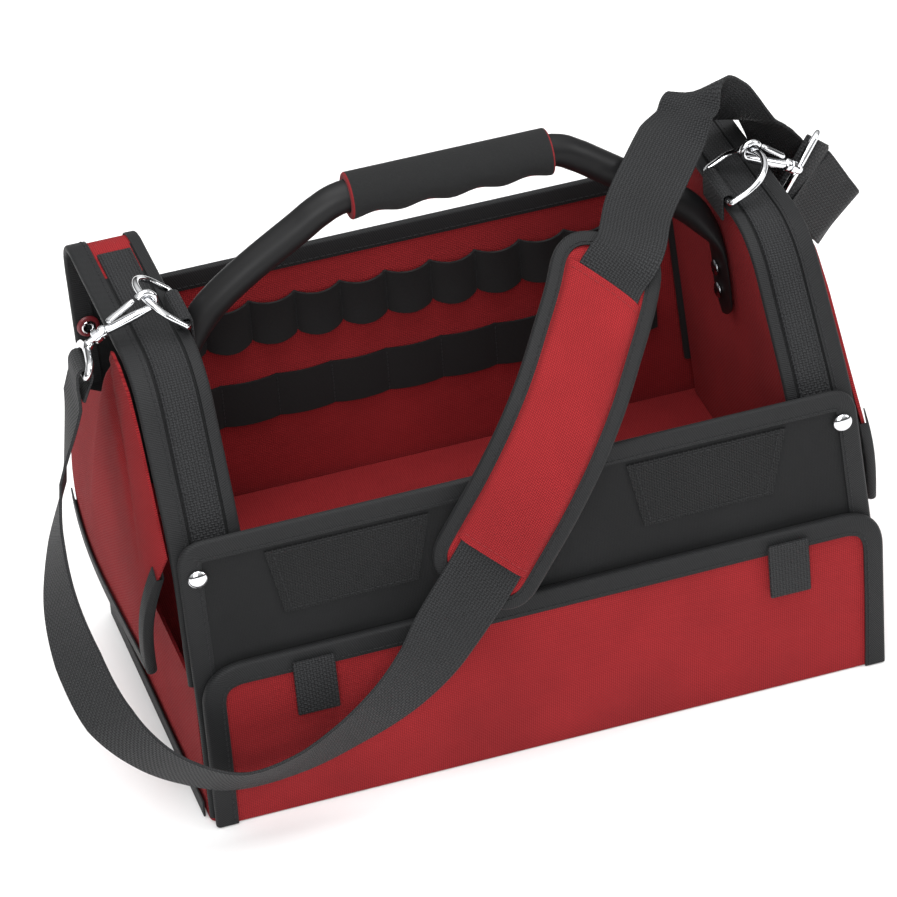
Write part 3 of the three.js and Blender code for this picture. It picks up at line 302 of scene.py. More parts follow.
def woven_finish(name, light, dark, pitch, relief=0.16, rough=0.78, sheen=0.04, shine=0.2):
    """Plain weave: threads that rise in turn, with fibres and a slow random change of tone; the colour is
    darker where the weave is low, a painted shade between the threads.
    """
    material, node, feed = start_finish(name)
    across, along = pitch
    uv = node("UVMap", uv_map="cloth")
    threads = node("Mapping", {"Vector": uv, "Scale": (1 / (across * MM), 1 / (along * MM), 1)})
    ease = {"Vector": threads, "Scale": ONE_WAVE, "Distortion": 0.25, "Detail": 1.0, "Detail Scale": 0.6}
    warp = node("TexWave", ease, 1, bands_direction="X")
    weft = node("TexWave", ease, 1, bands_direction="Y")
    turn = node("TexChecker", {"Vector": threads, "Scale": 1.0}, 1)
    fibre = noise(node, threads, 2.6, 2.0)
    height = added(node, fibre, 0.3, node("Mix", {0: turn, 2: warp, 3: weft}))
    # Painted shade: the colour goes from the dark tone where the weave is low to the light tone on the
    # threads' crowns, as shade falls between threads.
    lit = node("MapRange", {0: height, 1: 0.05, 2: 1.1, 3: 0.0, 4: 1.0})
    cloth = blend_colours(node, lit, dark, light)
    wear = spread(node, noise(node, node("TexCoord", out="Object"), 14.0, 3.0), 0.86, 1.1)
    feed(
        Base_Color=node("Mix", {0: 1.0, 6: cloth, 7: wear}, 2, data_type="RGBA", blend_type="MULTIPLY"),
        Roughness=spread(node, fibre, rough - 0.08, rough + 0.1),
        Normal=raised(node, height, relief),
        Sheen_Weight=sheen,
        Sheen_Roughness=0.5,
        Specular_IOR_Level=shine,
    )
    return material


def dress(piece, finish, slot, *nodes, body="bag"):
    piece.data.materials.append(finish)
    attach(piece, body)
    if nodes:
        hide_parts(*nodes)
    return piece


red_cloth = woven_finish(
    "red_cloth", RED_LIGHT, RED_DARK, (RED_PITCH, RED_PITCH), relief=0.22, rough=0.85, sheen=0.01, shine=0.1)

base_line = rounded_line([
    (0, BASE_FRONT), (BASE_HALF, BASE_FRONT, BASE_CORNER), (BASE_HALF, BASE_BACK, BASE_CORNER),
    (-BASE_HALF, BASE_BACK, BASE_CORNER), (-BASE_HALF, BASE_FRONT, BASE_CORNER), (0, BASE_FRONT)])[:-1]
base_middle = np.array([0, (BASE_FRONT + BASE_BACK) / 2])
base_rings = []
for inset, z in ((0.8, 0), (0.2, 0.25), (0, 0.8), (0, BASE_THICK - 0.8), (0.8, BASE_THICK)):
    shrink = 1 - inset / np.array([BASE_HALF, BASE_BACK - base_middle[1]])
    ring = base_middle + (base_line - base_middle) * shrink
    base_rings.append(points_at(*ring.T, z))
dress(loft("base_board", base_rings), red_cloth, "red_cloth", "base_panel")

floor_x, floor_y = np.meshgrid(
    np.linspace(-FLOOR_HALF_X, FLOOR_HALF_X, 61), np.linspace(-FLOOR_HALF_Y, FLOOR_HALF_Y, 31))
floor_edge = np.cos(floor_x / FLOOR_HALF_X * math.pi / 2) * np.cos(floor_y / FLOOR_HALF_Y * math.pi / 2)
floor_dip = floor_edge * (0.5 * np.sin(floor_x / 41 + floor_y / 60) - 0.6)
floor_grid = points_at(floor_x, floor_y, FLOOR_TOP - CLOTH / 2 + floor_dip)
dress(sheet("floor_board", floor_grid), red_cloth, "red_cloth", "floor_panel")

# Front and back walls: stiffened cloth, black in front and red behind, with rounded top corners.
# A ribbed black tape is folded over each wall's sides and top and sewn through with one row of stitches.

WALL_HALF = 208.0
FRONT_Y = -110.0
BACK_Y = 108.0
FRONT_TOP = 197.0
BACK_TOP = 236.0
FRONT_FOOT = FLOOR_TOP + 1
WALL_FOOT = 3.35
CORNER_R = 16.0
ARCH_OUTER = 210.0
ARCH_TOP = 283.0
LEAN_LEFT = -4.0
LEAN_RIGHT = 20.0
GAP = 0.35
TAPE_WIDTH = 12.0
TAPE_THICK = 1.0
SEAM_INSET = 2.4
SIDES = (("left", -1), ("right", 1))
FORWARD = (0.0, -1.0, 0.0)
# In each pair the light tone is the colour on the threads and ribs; the dark tone is painted shade in their
# hollows and grooves.
BLACK_LIGHT = colour(0.015, 0.0155, 0.016)
BLACK_DARK = colour(0.006, 0.006, 0.0065)
TAPE_LIGHT = colour(0.0155, 0.016, 0.017)
TAPE_DARK = colour(0.004, 0.0042, 0.0045)
THREAD_LIGHT = colour(0.022, 0.0225, 0.024)
THREAD_DARK = colour(0.007, 0.0072, 0.0077)


def lean(points):
    """Draws the upper part of the bag in with the end it belongs to."""
    points = np.array(points, float)
    drawn = np.where(points[..., 0] < 0, LEAN_LEFT, LEAN_RIGHT) / ARCH_OUTER
    points[..., 0] *= 1 - drawn * np.clip(points[..., 2] - FLOOR_TOP, 0, None) / (ARCH_TOP - FLOOR_TOP)
    return points


def right_of(points, closed=False):
    """The unit direction to the right of a run of flat points, at each point."""
    if closed:
        along = np.roll(points, -1, axis=0) - np.roll(points, 1, axis=0)
    else:
        along = np.vstack([points[1] - points[0], points[2:] - points[:-2], points[-1] - points[-2]])
    along = unit(along)
    return np.column_stack([along[:, 1], -along[:, 0]])


def edge_place(line, on_face, closed=False):
    """Where things lie along an edge, a inward from it and b off the face."""
    inward = right_of(line, closed)

    def place(a, b):
        flat = line + inward * a
        return on_face(flat[:, 0], flat[:, 1], b)
    return place


def wall_heights(foot, top, radius, rows=26):
    """Heights of a wall's rows, and how far its rounded corners draw each row in."""
    turn = np.linspace(0, math.pi / 2 - 0.04, 9)
    heights = np.concatenate([
        np.linspace(foot, top - radius, rows)[:-1], top - radius + radius * np.sin(turn)])
    insets = np.concatenate([np.zeros(rows - 1), radius * (1 - np.cos(turn))])
    return heights, insets


def front_ripple(x, z):
    """How far the front wall stands out of flat, towards the front."""
    share = np.clip((z - FRONT_FOOT) / (FRONT_TOP - FRONT_FOOT), 0, 1)
    return 0.8 * np.sin(x / 38 + 0.6) * np.sin(math.pi * share) ** 2


def upright_wall(name, foot, top, y, ripple):
    heights, insets = wall_heights(foot, top, CORNER_R)
    x = np.linspace(-1, 1, 73) * (WALL_HALF - insets[:, None])
    z = heights[:, None]
    return sheet(name, lean(points_at(x, y + CLOTH / 2 - ripple(x, z), z)))


def tape_section(width, clear):
    """Folded tape in section: the first number grows inward from the cut edge."""
    inner = clear / 2 + GAP
    outer = inner + TAPE_THICK
    bend = 0.7
    fold = np.radians(np.linspace(-90, 90, 9))
    outside = [(bend - (bend + GAP + TAPE_THICK) * math.cos(t), outer * math.sin(t)) for t in fold]
    inside = [(bend - (bend + GAP) * math.cos(t), inner * math.sin(t)) for t in fold[::-1]]
    soft = 0.3 * TAPE_THICK
    return (
        [(width, -inner - soft), (width - soft, -outer)] + outside
        + [(width - soft, outer), (width, inner + soft), (width - soft, inner)] + inside
        + [(width - soft, -inner)])


def bind_edge(name, node_name, place, width, clear=CLOTH, closed=False):
    """Tape folded over an edge, standing for a node of the model."""
    rings = [place(a, b) for a, b in tape_section(width, clear)]
    return dress(loft(name, np.stack(rings, axis=1), closed, sharp=60), edge_binding, "edge_tape", node_name)


def tape_seam(place, width, clear=CLOTH, face=1):
    """The line of stitches near the inner edge of a tape, on one face, with its way out."""
    off = face * (clear / 2 + GAP + TAPE_THICK)
    line = place(width - SEAM_INSET, off)
    out = place(width - SEAM_INSET, off + face) - line
    return line, unit(out)


def at_lengths(s, reach, rows):
    """The rows of a run, read off at lengths s along it."""
    return np.stack([np.interp(s, reach, rows[:, i]) for i in range(3)], axis=-1)


def stitching(name, slot, seams, thread=None, pitch=3.9, length=3.1, radius=0.42):
    """Many small stitches in one mesh, laid end to end along each seam, in black if no thread is named."""
    points = []
    faces = []
    sides = 6
    rings = ((-0.5, 0.35), (-0.3, 1.0), (0.3, 1.0), (0.5, 0.35))
    for line, out in seams:
        reach = run_lengths(line)
        for s in np.arange(pitch / 2, reach[-1], pitch):
            at = at_lengths(s, reach, line)
            ahead = at_lengths(min(s + 1, reach[-1]), reach, line)
            along = unit(ahead - at_lengths(max(s - 1, 0), reach, line))
            across = unit(np.cross(along, at_lengths(s, reach, out)))
            off = np.cross(across, along)
            first = len(points)
            for share, size in rings:
                for k in range(sides):
                    turn = 2 * math.pi * k / sides
                    ring = across * math.cos(turn) + off * 0.8 * math.sin(turn)
                    points.append(at + along * share * length + off * 0.1 + ring * radius * size)
            for r in range(len(rings) - 1):
                for k in range(sides):
                    j = (k + 1) % sides
                    here = first + r * sides
                    faces.append((here + k, here + j, here + sides + j, here + sides + k))
            faces.append([first + k for k in range(sides)][::-1])
            faces.append([first + (len(rings) - 1) * sides + k for k in range(sides)])
    uvs = [(points[v][0] + points[v][1], points[v][2]) for face in faces for v in face]
    return dress(new_piece(name, points, faces, uvs, sharp=80), thread or thread_black, slot)


def ribbed_finish(name, light, dark, pitch, slant=0.0, relief=0.12, rough=0.62, sheen=0.02):
    """Ribs across the run of a narrow tape, crossed by fine lengthwise threads; the colour is darker in the
    grooves between them, a painted shade.
    """
    material, node, feed = start_finish(name)
    uv = node("UVMap", uv_map="cloth")
    turned = node("Mapping", {"Vector": uv, "Rotation": (0, 0, slant), "Scale": (1 / MM, 1 / MM, 1)})
    ribs = node("TexWave", {
        "Vector": turned, "Scale": ONE_WAVE / pitch, "Distortion": 0.5, "Detail": 1.0, "Detail Scale": 0.5,
    }, 1, bands_direction="Y")
    lines = node("TexWave", {
        "Vector": turned, "Scale": ONE_WAVE / (pitch * 0.8), "Distortion": 0.4, "Detail": 1.0,
    }, 1, bands_direction="X")
    fibre = noise(node, turned, 1.8, 2.0)
    height = added(node, fibre, 0.4, added(node, lines, 0.35, ribs))
    # Painted shade: the colour goes from the dark tone in the grooves to the light tone on the ribs, as shade
    # falls between them.
    lit = node("MapRange", {0: height, 1: 0.2, 2: 1.45, 3: 0.0, 4: 1.0})
    feed(
        Base_Color=blend_colours(node, lit, dark, light),
        Roughness=spread(node, fibre, rough - 0.1, rough + 0.12),
        Normal=raised(node, height, relief),
        Sheen_Weight=sheen,
        Sheen_Roughness=0.4,
        Specular_IOR_Level=0.22,
    )
    return material


black_cloth = woven_finish(
    "black_cloth", BLACK_LIGHT, BLACK_DARK, (0.9, 0.9), relief=0.10, sheen=0.02, shine=0.15)
edge_binding = ribbed_finish("edge_binding", TAPE_LIGHT, TAPE_DARK, 1.25, slant=0.45)
thread_black = ribbed_finish("thread_black", THREAD_LIGHT, THREAD_DARK, 0.5, slant=0.7, relief=0.05)

dress(upright_wall("front_wall", FRONT_FOOT, FRONT_TOP, FRONT_Y, front_ripple),
      black_cloth, "black_cloth", "front_panel")
dress(upright_wall("back_wall", WALL_FOOT, BACK_TOP, BACK_Y, lambda x, z: 0 * x),
      red_cloth, "red_cloth", "back_panel")
for wall, top, y in (("front", FRONT_TOP, FRONT_Y), ("back", BACK_TOP, BACK_Y)):
    wall_line = rounded_line([
        (-WALL_HALF, WALL_FOOT), (-WALL_HALF, FLOOR_TOP, 0), (-WALL_HALF, top, CORNER_R),
        (WALL_HALF, top, CORNER_R), (WALL_HALF, FLOOR_TOP, 0), (WALL_HALF, WALL_FOOT)], 10, 8)
    place = edge_place(wall_line, lambda x, z, b: lean(points_at(x, y + CLOTH / 2 + b, z)))
    bind_edge(f"{wall}_wall_binding", f"{wall}_panel_tape", place, TAPE_WIDTH)
    seams = [tape_seam(place, TAPE_WIDTH, face=face) for face in (1, -1)]
    stitching(f"{wall}_wall_stitches", "edge_tape", seams)

# Loop patches: two pieces of the soft half of a touch fastener, cut wider at the top.
# Each is sewn flat on the front wall with one row of stitches just inside its edge.

PATCH_TOP = 182.0
PATCH_DROP = 45.0
PATCH_AT = 111.0
PATCH_HALF_TOP = 49.0
PATCH_HALF_BOTTOM = 40.0
PATCH_THICK = 0.9
PATCH_SEAM = 2.2


def on_front(x, z, off):
    return points_at(x, FRONT_Y - front_ripple(x, z) - off, z)


# Its dark tone is painted shade in the pile's hollows.
loop_pile = woven_finish(
    "loop_pile", colour(0.016, 0.0165, 0.017), colour(0.004, 0.004, 0.0045), (1.5, 1.2),
    relief=0.35, sheen=0.05, shine=0.12)
for side, sign in SIDES:
    middle = lean([[sign * PATCH_AT, 0, PATCH_TOP]])[0][0]
    down = np.linspace(0, 1, 17)[:, None]
    half = between(PATCH_HALF_TOP, PATCH_HALF_BOTTOM, down)
    x = middle + half * np.linspace(-1, 1, 33)
    z = PATCH_TOP - PATCH_DROP * down
    patch = sheet(f"loop_pile_{side}", on_front(x, z, GAP + PATCH_THICK / 2), PATCH_THICK)
    dress(patch, loop_pile, "loop_patch", f"loop_patch_{side}")
    corners = [
        (middle - PATCH_HALF_TOP, PATCH_TOP), (middle + PATCH_HALF_TOP, PATCH_TOP),
        (middle + PATCH_HALF_BOTTOM, PATCH_TOP - PATCH_DROP),
        (middle - PATCH_HALF_BOTTOM, PATCH_TOP - PATCH_DROP)]
    centre = np.array([middle, PATCH_TOP - PATCH_DROP / 2])
    inset = [centre + (np.array(c) - centre) * (1 - PATCH_SEAM / (PATCH_DROP / 2)) for c in corners]
    round_line = rounded_line([(*c, 0) for c in inset + inset[:1]], spacing=4)
    line = on_front(round_line[:, 0], round_line[:, 1], GAP + PATCH_THICK)
    stitching(f"loop_pile_stitches_{side}", "loop_patch", [(line, np.tile(FORWARD, (len(line), 1)))])

# Lower flap: one red sheet over the front of the lower compartment, sewn in at the base.
# It swells a little towards the front, and its free sides and top carry the same folded tape.

FLAP_LEFT = -206.0
FLAP_RIGHT = 210.0
FLAP_TOP = 112.0
FLAP_FOOT = 0.6
FLAP_REST_Y = -115.0
FLAP_SWELL = 5.0
FLAP_CORNER_R = 26.0
FLAP_TUCK = 0.9
FLAP_TAPE_CLEAR = CLOTH + 1.2


def flap_y(x, z):
    across = np.clip((x - FLAP_LEFT) / (FLAP_RIGHT - FLAP_LEFT), 0, 1)
    up = np.clip((z - FLAP_FOOT) / (FLAP_TOP - FLAP_FOOT), 0, 1)
    arch = np.sqrt(np.sin(math.pi * across)) * np.sin(math.pi * up)
    wave = 0.7 * np.sin(x / 33 + 1.2) + 0.5 * np.sin(x / 17 - z / 30)
    return FLAP_REST_Y - arch * (FLAP_SWELL + wave)


heights, insets = wall_heights(FLAP_FOOT, FLAP_TOP - FLAP_TUCK, FLAP_CORNER_R - FLAP_TUCK, 30)
left = FLAP_LEFT + FLAP_TUCK + insets[:, None]
right = FLAP_RIGHT - FLAP_TUCK - insets[:, None]
x = between(left, right, np.linspace(0, 1, 97))
z = heights[:, None]
lower_flap = sheet("lower_flap", points_at(x, flap_y(x, z), z))
dress(lower_flap, red_cloth, "red_cloth", "front_flap")

flap_line = rounded_line([
    (FLAP_LEFT, FLAP_FOOT), (FLAP_LEFT, FLAP_TOP, FLAP_CORNER_R),
    (FLAP_RIGHT, FLAP_TOP, FLAP_CORNER_R), (FLAP_RIGHT, FLAP_FOOT)], 14, 8)
flap_tape = edge_place(flap_line, lambda x, z, b: points_at(x, flap_y(x, z) + b, z))
flap_binding = bind_edge("lower_flap_binding", "front_flap_tape", flap_tape, TAPE_WIDTH, FLAP_TAPE_CLEAR)
flap_seam = stitching(
    "lower_flap_stitches", "edge_tape", [tape_seam(flap_tape, TAPE_WIDTH, FLAP_TAPE_CLEAR, -1)])

# Pull tabs: two short pieces of webbing, folded double and sewn to the top of the lower flap.
# They hang in front of its tape with the fold at the bottom.

TAB_WIDTH = 25.0
TAB_TOP = 108.0
TAB_BOTTOM = 72.0
TAB_STAND_OFF = 5.2
TAB_LAYER = 1.1
TAB_SPREAD = 0.72
TABS = (("left", -141.0), ("right", 150.0))


def band_section(width, thick):
    """A flat woven band in section, with soft edges."""
    w = width / 2
    t = thick / 2
    edge = min(0.5, t * 0.8)
    upper = [(-w, t - edge), (edge - w, t), (-w / 2, t), (0, t), (w / 2, t), (w - edge, t), (w, t - edge)]
    return upper + [(a, -b) for a, b in upper[::-1]]


def woven_band(name, node_name, place, width, thick):
    """A length of webbing; place takes a distance off the band's middle and one across the band."""
    rings = [place(off, across) for across, off in band_section(width, thick)]
    return dress(loft(name, np.stack(rings, axis=1)), webbing, "webbing", node_name)


# Its dark tone is painted shade between the webbing's threads.
webbing = woven_finish(
    "webbing", colour(0.025, 0.026, 0.0275), colour(0.003, 0.003, 0.0034), (1.9, 1.45),
    relief=0.42, rough=0.62, sheen=0.02)
for side, middle in TABS:
    turn = np.linspace(0, math.pi, 9)
    line = np.vstack([
        points_at(-TAB_SPREAD, np.linspace(TAB_TOP, TAB_BOTTOM + 1.6, 12)),
        points_at(-TAB_SPREAD * np.cos(turn), TAB_BOTTOM + 1.3 - TAB_SPREAD * np.sin(turn)),
        points_at(TAB_SPREAD, np.linspace(TAB_BOTTOM + 1.6, TAB_TOP - 1, 12))])
    rest_y = flap_y(middle, line[:, 1]) - TAB_STAND_OFF
    place = edge_place(line, lambda shift, z, a: points_at(middle + a, rest_y + shift, z))
    woven_band(f"flap_tab_{side}", f"pull_tab_{side}", place, TAB_WIDTH, TAB_LAYER)

# Tool loops: two wide bands of black elastic on the inside of the back wall.
# Each is sewn down at even stations, so that it stands out in a row of open loops between the seams.

BAND_THICK = 1.6
BAND_REST_Y = BACK_Y - 1.4
BAND_LEFT = -163.0
BAND_RIGHT = 151.0
ELASTIC_BANDS = [
    # name, node, top, bottom, loops, bulge, sag, dip of the top edge, slack length for 1 of its place
    ("tool_elastic_upper", "tool_loops_upper", 207.0, 178.0, 11, 6.5, 3.4, 1.2, 1.16),
    ("tool_elastic_lower", "tool_loops_lower", 151.0, 121.0, 9, 2.0, 0.9, 0.5, 1.02),
]
STEPS_PER_LOOP = 14

# Its dark tone is painted shade in the elastic's grooves.
elastic = ribbed_finish(
    "elastic", colour(0.012, 0.0122, 0.0127), colour(0.005, 0.005, 0.0053), 0.9, relief=0.08, rough=0.8)
for name, node_name, top, bottom, loops, bulge, sag, dip, fullness in ELASTIC_BANDS:
    u = np.linspace(0, 1, loops * STEPS_PER_LOOP + 1)
    v = np.linspace(0, 1, 15)[:, None]
    swell = np.abs(np.sin(math.pi * loops * u)) ** 0.75
    share = 0.5 + 0.5 * np.sin(np.floor(np.clip(u * loops, 0, loops - 0.01)) * 2.3)
    low = bottom + sag * (0.5 - swell) * (0.8 + 0.3 * share)
    high = top - dip * swell
    z = between(low, high, v)
    stand = bulge * swell * (0.9 + 0.1 * share) * (1 - 0.12 * np.sin(math.pi * v))
    x = between(BAND_LEFT, BAND_RIGHT, u)
    band = sheet(name, points_at(x, BAND_REST_Y - stand, z), BAND_THICK, sharp=50)
    dress(band, elastic, "elastic", node_name)
    seams = []
    for k in range(loops + 1):
        at = between(BAND_LEFT, BAND_RIGHT, k / loops)
        at = min(max(at, BAND_LEFT + 1.2), BAND_RIGHT - 1.2)
        rise = np.linspace(bottom + sag * 0.5, top - 0.6, 12)
        line = points_at(at, BAND_REST_Y - BAND_THICK / 2, rise)
        seams.append((line, np.tile(FORWARD, (12, 1))))
    stitching(f"{name}_stitches", "elastic", seams, pitch=2.8, length=2.2, radius=0.36)

# End arches: at each end a strip of cloth runs up, over and down from front to back, black as far as
# its webbing goes and red behind. Tape binds both edges, and the webbing is sewn along the middle.

ARCH_INNER = 170.0
ARCH_FOOT = 96.0
LEG_Y = 103.0
INNER_TAPE_WIDTH = 6.0
OUTER_TAPE_WIDTH = 11.0
ARCH_BAND_MIDDLE = 187.5
ARCH_BAND_WIDTH = 20.0
ARCH_BAND_THICK = 1.8
ARCH_BAND_END_Y = 74.0
ARCH_RED_FROM = {"left": 46.0, "right": 74.0}
ARCH_SLOPE_FOOT = 184.0
ARCH_SLOPE_END_Y = -60.0
ARCH_SLOPE_R = 30.0
ARCH_CORNER_R = 26.0
ARCH_SEAM_INSET = 1.8

arch_line = rounded_line([
    (-LEG_Y, ARCH_FOOT), (-LEG_Y, ARCH_SLOPE_FOOT, ARCH_SLOPE_R), (ARCH_SLOPE_END_Y, ARCH_TOP, ARCH_CORNER_R),
    (LEG_Y, ARCH_TOP, ARCH_CORNER_R), (LEG_Y, ARCH_FOOT)], 12, 8)
arch_inward = right_of(arch_line)


def on_arch(sign, s, h, rows=slice(None)):
    """Points along the arch, s outward from the bag's middle and h off the cloth."""
    flat = arch_line[rows] - arch_inward[rows] * h
    return lean(points_at(sign * s, *flat.T))


def part_finish(piece, finish, chosen):
    """Gives the chosen faces of a piece another finish."""
    piece.data.materials.append(finish)
    for face in piece.data.polygons:
        face.material_index = int(chosen(face))


for side, sign in SIDES:
    strip = np.stack([on_arch(sign, s, 0) for s in np.linspace(ARCH_INNER, ARCH_OUTER, 7)], axis=1)
    end_arch = sheet(f"end_arch_{side}", strip)
    dress(end_arch, black_cloth, "black_cloth", f"arch_strip_{side}")

    def behind_band(face):
        y = face.center.y / MM
        outward = abs(face.center.x) / MM > ARCH_BAND_MIDDLE * 0.95
        faces_out = max(face.normal.y, face.normal.z) > 0.3
        return faces_out and (y > ARCH_BAND_END_Y or (outward and y > ARCH_RED_FROM[side]))

    def outer_place(a, b):
        return on_arch(sign, ARCH_OUTER - a, b)

    part_finish(end_arch, red_cloth, behind_band)
    bind_edge(f"arch_rim_binding_{side}", f"arch_outer_tape_{side}", outer_place, OUTER_TAPE_WIDTH)
    bind_edge(f"arch_inner_binding_{side}", f"arch_inner_tape_{side}",
              lambda a, b: on_arch(sign, ARCH_INNER + a, b), INNER_TAPE_WIDTH)

    on_top = np.nonzero((arch_line[:, 1] > ARCH_TOP - 1) & (arch_line[:, 0] <= ARCH_BAND_END_Y))[0][-1]
    rows = slice(0, on_top + 1)
    lift = CLOTH / 2 + GAP + ARCH_BAND_THICK / 2
    woven_band(
        f"arch_band_{side}", f"arch_webbing_{side}",
        lambda b, a: on_arch(sign, ARCH_BAND_MIDDLE + a, lift + b, rows), ARCH_BAND_WIDTH, ARCH_BAND_THICK)

    seams = [tape_seam(outer_place, OUTER_TAPE_WIDTH)]
    for edge in (-1, 1):
        at = ARCH_BAND_MIDDLE + edge * (ARCH_BAND_WIDTH / 2 - ARCH_SEAM_INSET)
        line = on_arch(sign, at, lift + ARCH_BAND_THICK / 2, rows)
        seams.append((line, unit(on_arch(sign, at, lift + 2, rows) - line)))
    stitching(f"arch_stitches_{side}", "webbing", seams)

# End walls: a wall inside each arch, from the floor up, red towards the tools and black in the end
# pocket outside it, and a plain red wall below the arch's foot. All are sewn in at their edges.

END_WALL_AT = 173.0
END_WALL_INSET = 3.2
END_WALL_BEND = 250.0
LOW_END_TOP = ARCH_FOOT - 2
wall_outline = arch_line + arch_inward * END_WALL_INSET
peak = int(np.argmax(wall_outline[:, 1] > wall_outline[:, 1].max() - 0.05))
front_run = wall_outline[:peak + 1]
back_run = wall_outline[peak:][::-1]
back_run = back_run[:int(np.argmax(back_run[:, 1] > wall_outline[:, 1].max() - 0.05)) + 1]
for side, sign in SIDES:
    top = wall_outline[:, 1].max()
    heights = np.concatenate([
        np.linspace(FLOOR_TOP + GAP, END_WALL_BEND, 40), np.linspace(END_WALL_BEND, top, 20)[1:]])
    front = np.interp(heights, front_run[:, 1], front_run[:, 0])
    back = np.interp(heights, back_run[:, 1], back_run[:, 0])
    share = np.linspace(0, 1, 41)
    y = between(front[:, None], back[:, None], share)
    z = heights[:, None]
    bow = 0.8 * np.sin(math.pi * share) * np.sin(math.pi * (z - FLOOR_TOP) / (top - FLOOR_TOP))
    end_wall = sheet(f"end_wall_{side}", lean(points_at(sign * (END_WALL_AT + bow), y, z)))
    dress(end_wall, red_cloth, "red_cloth", f"end_panel_{side}")
    part_finish(end_wall, black_cloth, lambda face: face.normal.x * sign > 0.5)

    low_y, low_z = np.meshgrid(
        np.linspace(-FLOOR_HALF_Y, FLOOR_HALF_Y, 31), np.linspace(WALL_FOOT, LOW_END_TOP, 15))
    low_bow = 0.7 * np.sin(math.pi * (low_z - WALL_FOOT) / (LOW_END_TOP - WALL_FOOT)) * np.cos(low_y / 70)
    low = sheet(f"low_end_{side}", points_at(sign * (BASE_HALF - CLOTH / 2 + low_bow), low_y, low_z))
    dress(low, red_cloth, "red_cloth", f"lower_end_{side}")

# Side flaps: a soft red flap hangs from the outer edge of each arch over the end pocket.
# It is slack at the back, stands out at its foot, and has a tape round its free front edge and foot.

SIDE_FLAP_TOP = [
    # front to back, and height of the top edge
    (-103, 184), (-95, 202), (-84, 226), (-72, 252), (-58, 272), (-40, 280), (-24.5, 281),
    (-24, 256), (4, 234), (60, 201), (101, 176),
]
SIDE_FLAP_FOOT = 98.0
SIDE_FLAP_FRONT = -84.0
SIDE_FLAP_BACK = 101.0
SIDE_FLAP_AT = 213.4
SIDE_FLAP_OUT_FRONT = 14.0
SIDE_FLAP_OUT_MIDDLE = 17.0
SIDE_FLAP_OUT_BACK = 11.0
SIDE_FLAP_BELLY = 4.0
SIDE_FLAP_TAPE = 9.0
SIDE_FLAP_TAPE_CLEAR = CLOTH + 2
SIDE_FLAP_TUCK = 0.01
SIDE_FLAP_SLACK = {"left": 1.0, "right": 0.45}
SIDE_FLAP_DROP = {"left": 0, "right": 9}
SIDE_FLAP_CREASE = 3.0
SIDE_FLAP_CREASE_U = 0.69
SIDE_FLAP_CREASE_RUN = 1.5


def side_flap_top(u):
    place = np.clip(u, 0, 1) * (len(SIDE_FLAP_TOP) - 1)
    stations = np.arange(len(SIDE_FLAP_TOP))
    rows = np.array(SIDE_FLAP_TOP, float)
    return np.interp(place, stations, rows[:, 0]), np.interp(place, stations, rows[:, 1])


def on_side_flap(side, u, v):
    top_y, top_z = side_flap_top(u)
    middle = 4 * u * (1 - u)
    edge = between(SIDE_FLAP_OUT_FRONT, SIDE_FLAP_OUT_BACK, u)
    foot = between(edge, SIDE_FLAP_OUT_MIDDLE, middle)
    belly = SIDE_FLAP_BELLY * np.sin(math.pi * np.clip(v, 0, 1))
    crease_at = SIDE_FLAP_CREASE_U - (1 - v) * SIDE_FLAP_CREASE_RUN
    crease = np.exp(-((u - crease_at) / 0.045) ** 2)
    crease = crease * np.clip((v - 0.62) / 0.2, 0, 1) * np.clip((1 - v) / 0.05, 0, 1)
    folds = 1.1 * np.sin(2 * math.pi * (1.6 * u + 0.2)) * np.sin(math.pi * np.clip(v, 0, 1))
    out = foot * np.clip(1 - v, 0, None) ** 0.8 + belly + folds - SIDE_FLAP_CREASE * crease
    sign = -1 if side == "left" else 1
    foot_y = between(SIDE_FLAP_FRONT, SIDE_FLAP_BACK, u)
    return points_at(
        sign * (SIDE_FLAP_AT + SIDE_FLAP_SLACK[side] * out),
        between(foot_y, top_y, v),
        between(SIDE_FLAP_FOOT, top_z - SIDE_FLAP_DROP[side], v))


edge_u = np.concatenate([np.zeros(12), np.linspace(0, 1, 61)])
edge_v = np.concatenate([np.linspace(0.86, 0.07, 12), np.zeros(61)])
edge_du = np.concatenate([np.ones(13), np.zeros(60)])
edge_dv = np.concatenate([np.zeros(12), np.ones(61)])
for side, sign in SIDES:
    u, v = np.meshgrid(np.linspace(SIDE_FLAP_TUCK, 1, 81), np.linspace(SIDE_FLAP_TUCK, 1, 33))
    side_flap = sheet(f"side_flap_{side}", lean(on_side_flap(side, u, v)))
    dress(side_flap, red_cloth, "red_cloth", f"end_flap_{side}")

    def side_tape_place(a, b):
        drop = side_flap_top(edge_u)[1] - SIDE_FLAP_FOOT
        u = edge_u + edge_du * a / (SIDE_FLAP_BACK - SIDE_FLAP_FRONT)
        v = edge_v + edge_dv * a / drop
        across = on_side_flap(side, u + 0.02, v) - on_side_flap(side, u - 0.02, v)
        up = on_side_flap(side, u, v + 0.02) - on_side_flap(side, u, np.maximum(v, 0.02) - 0.02)
        return lean(on_side_flap(side, u, v) + unit(np.cross(across, up)) * b)

    binding = bind_edge(f"side_flap_binding_{side}", f"end_flap_tape_{side}", side_tape_place,
                        SIDE_FLAP_TAPE, SIDE_FLAP_TAPE_CLEAR)

# Foot tape: one length of the ribbed black tape, sewn flat round the foot of the bag.
# It runs along both ends and the back, over the seam between the walls and the base.

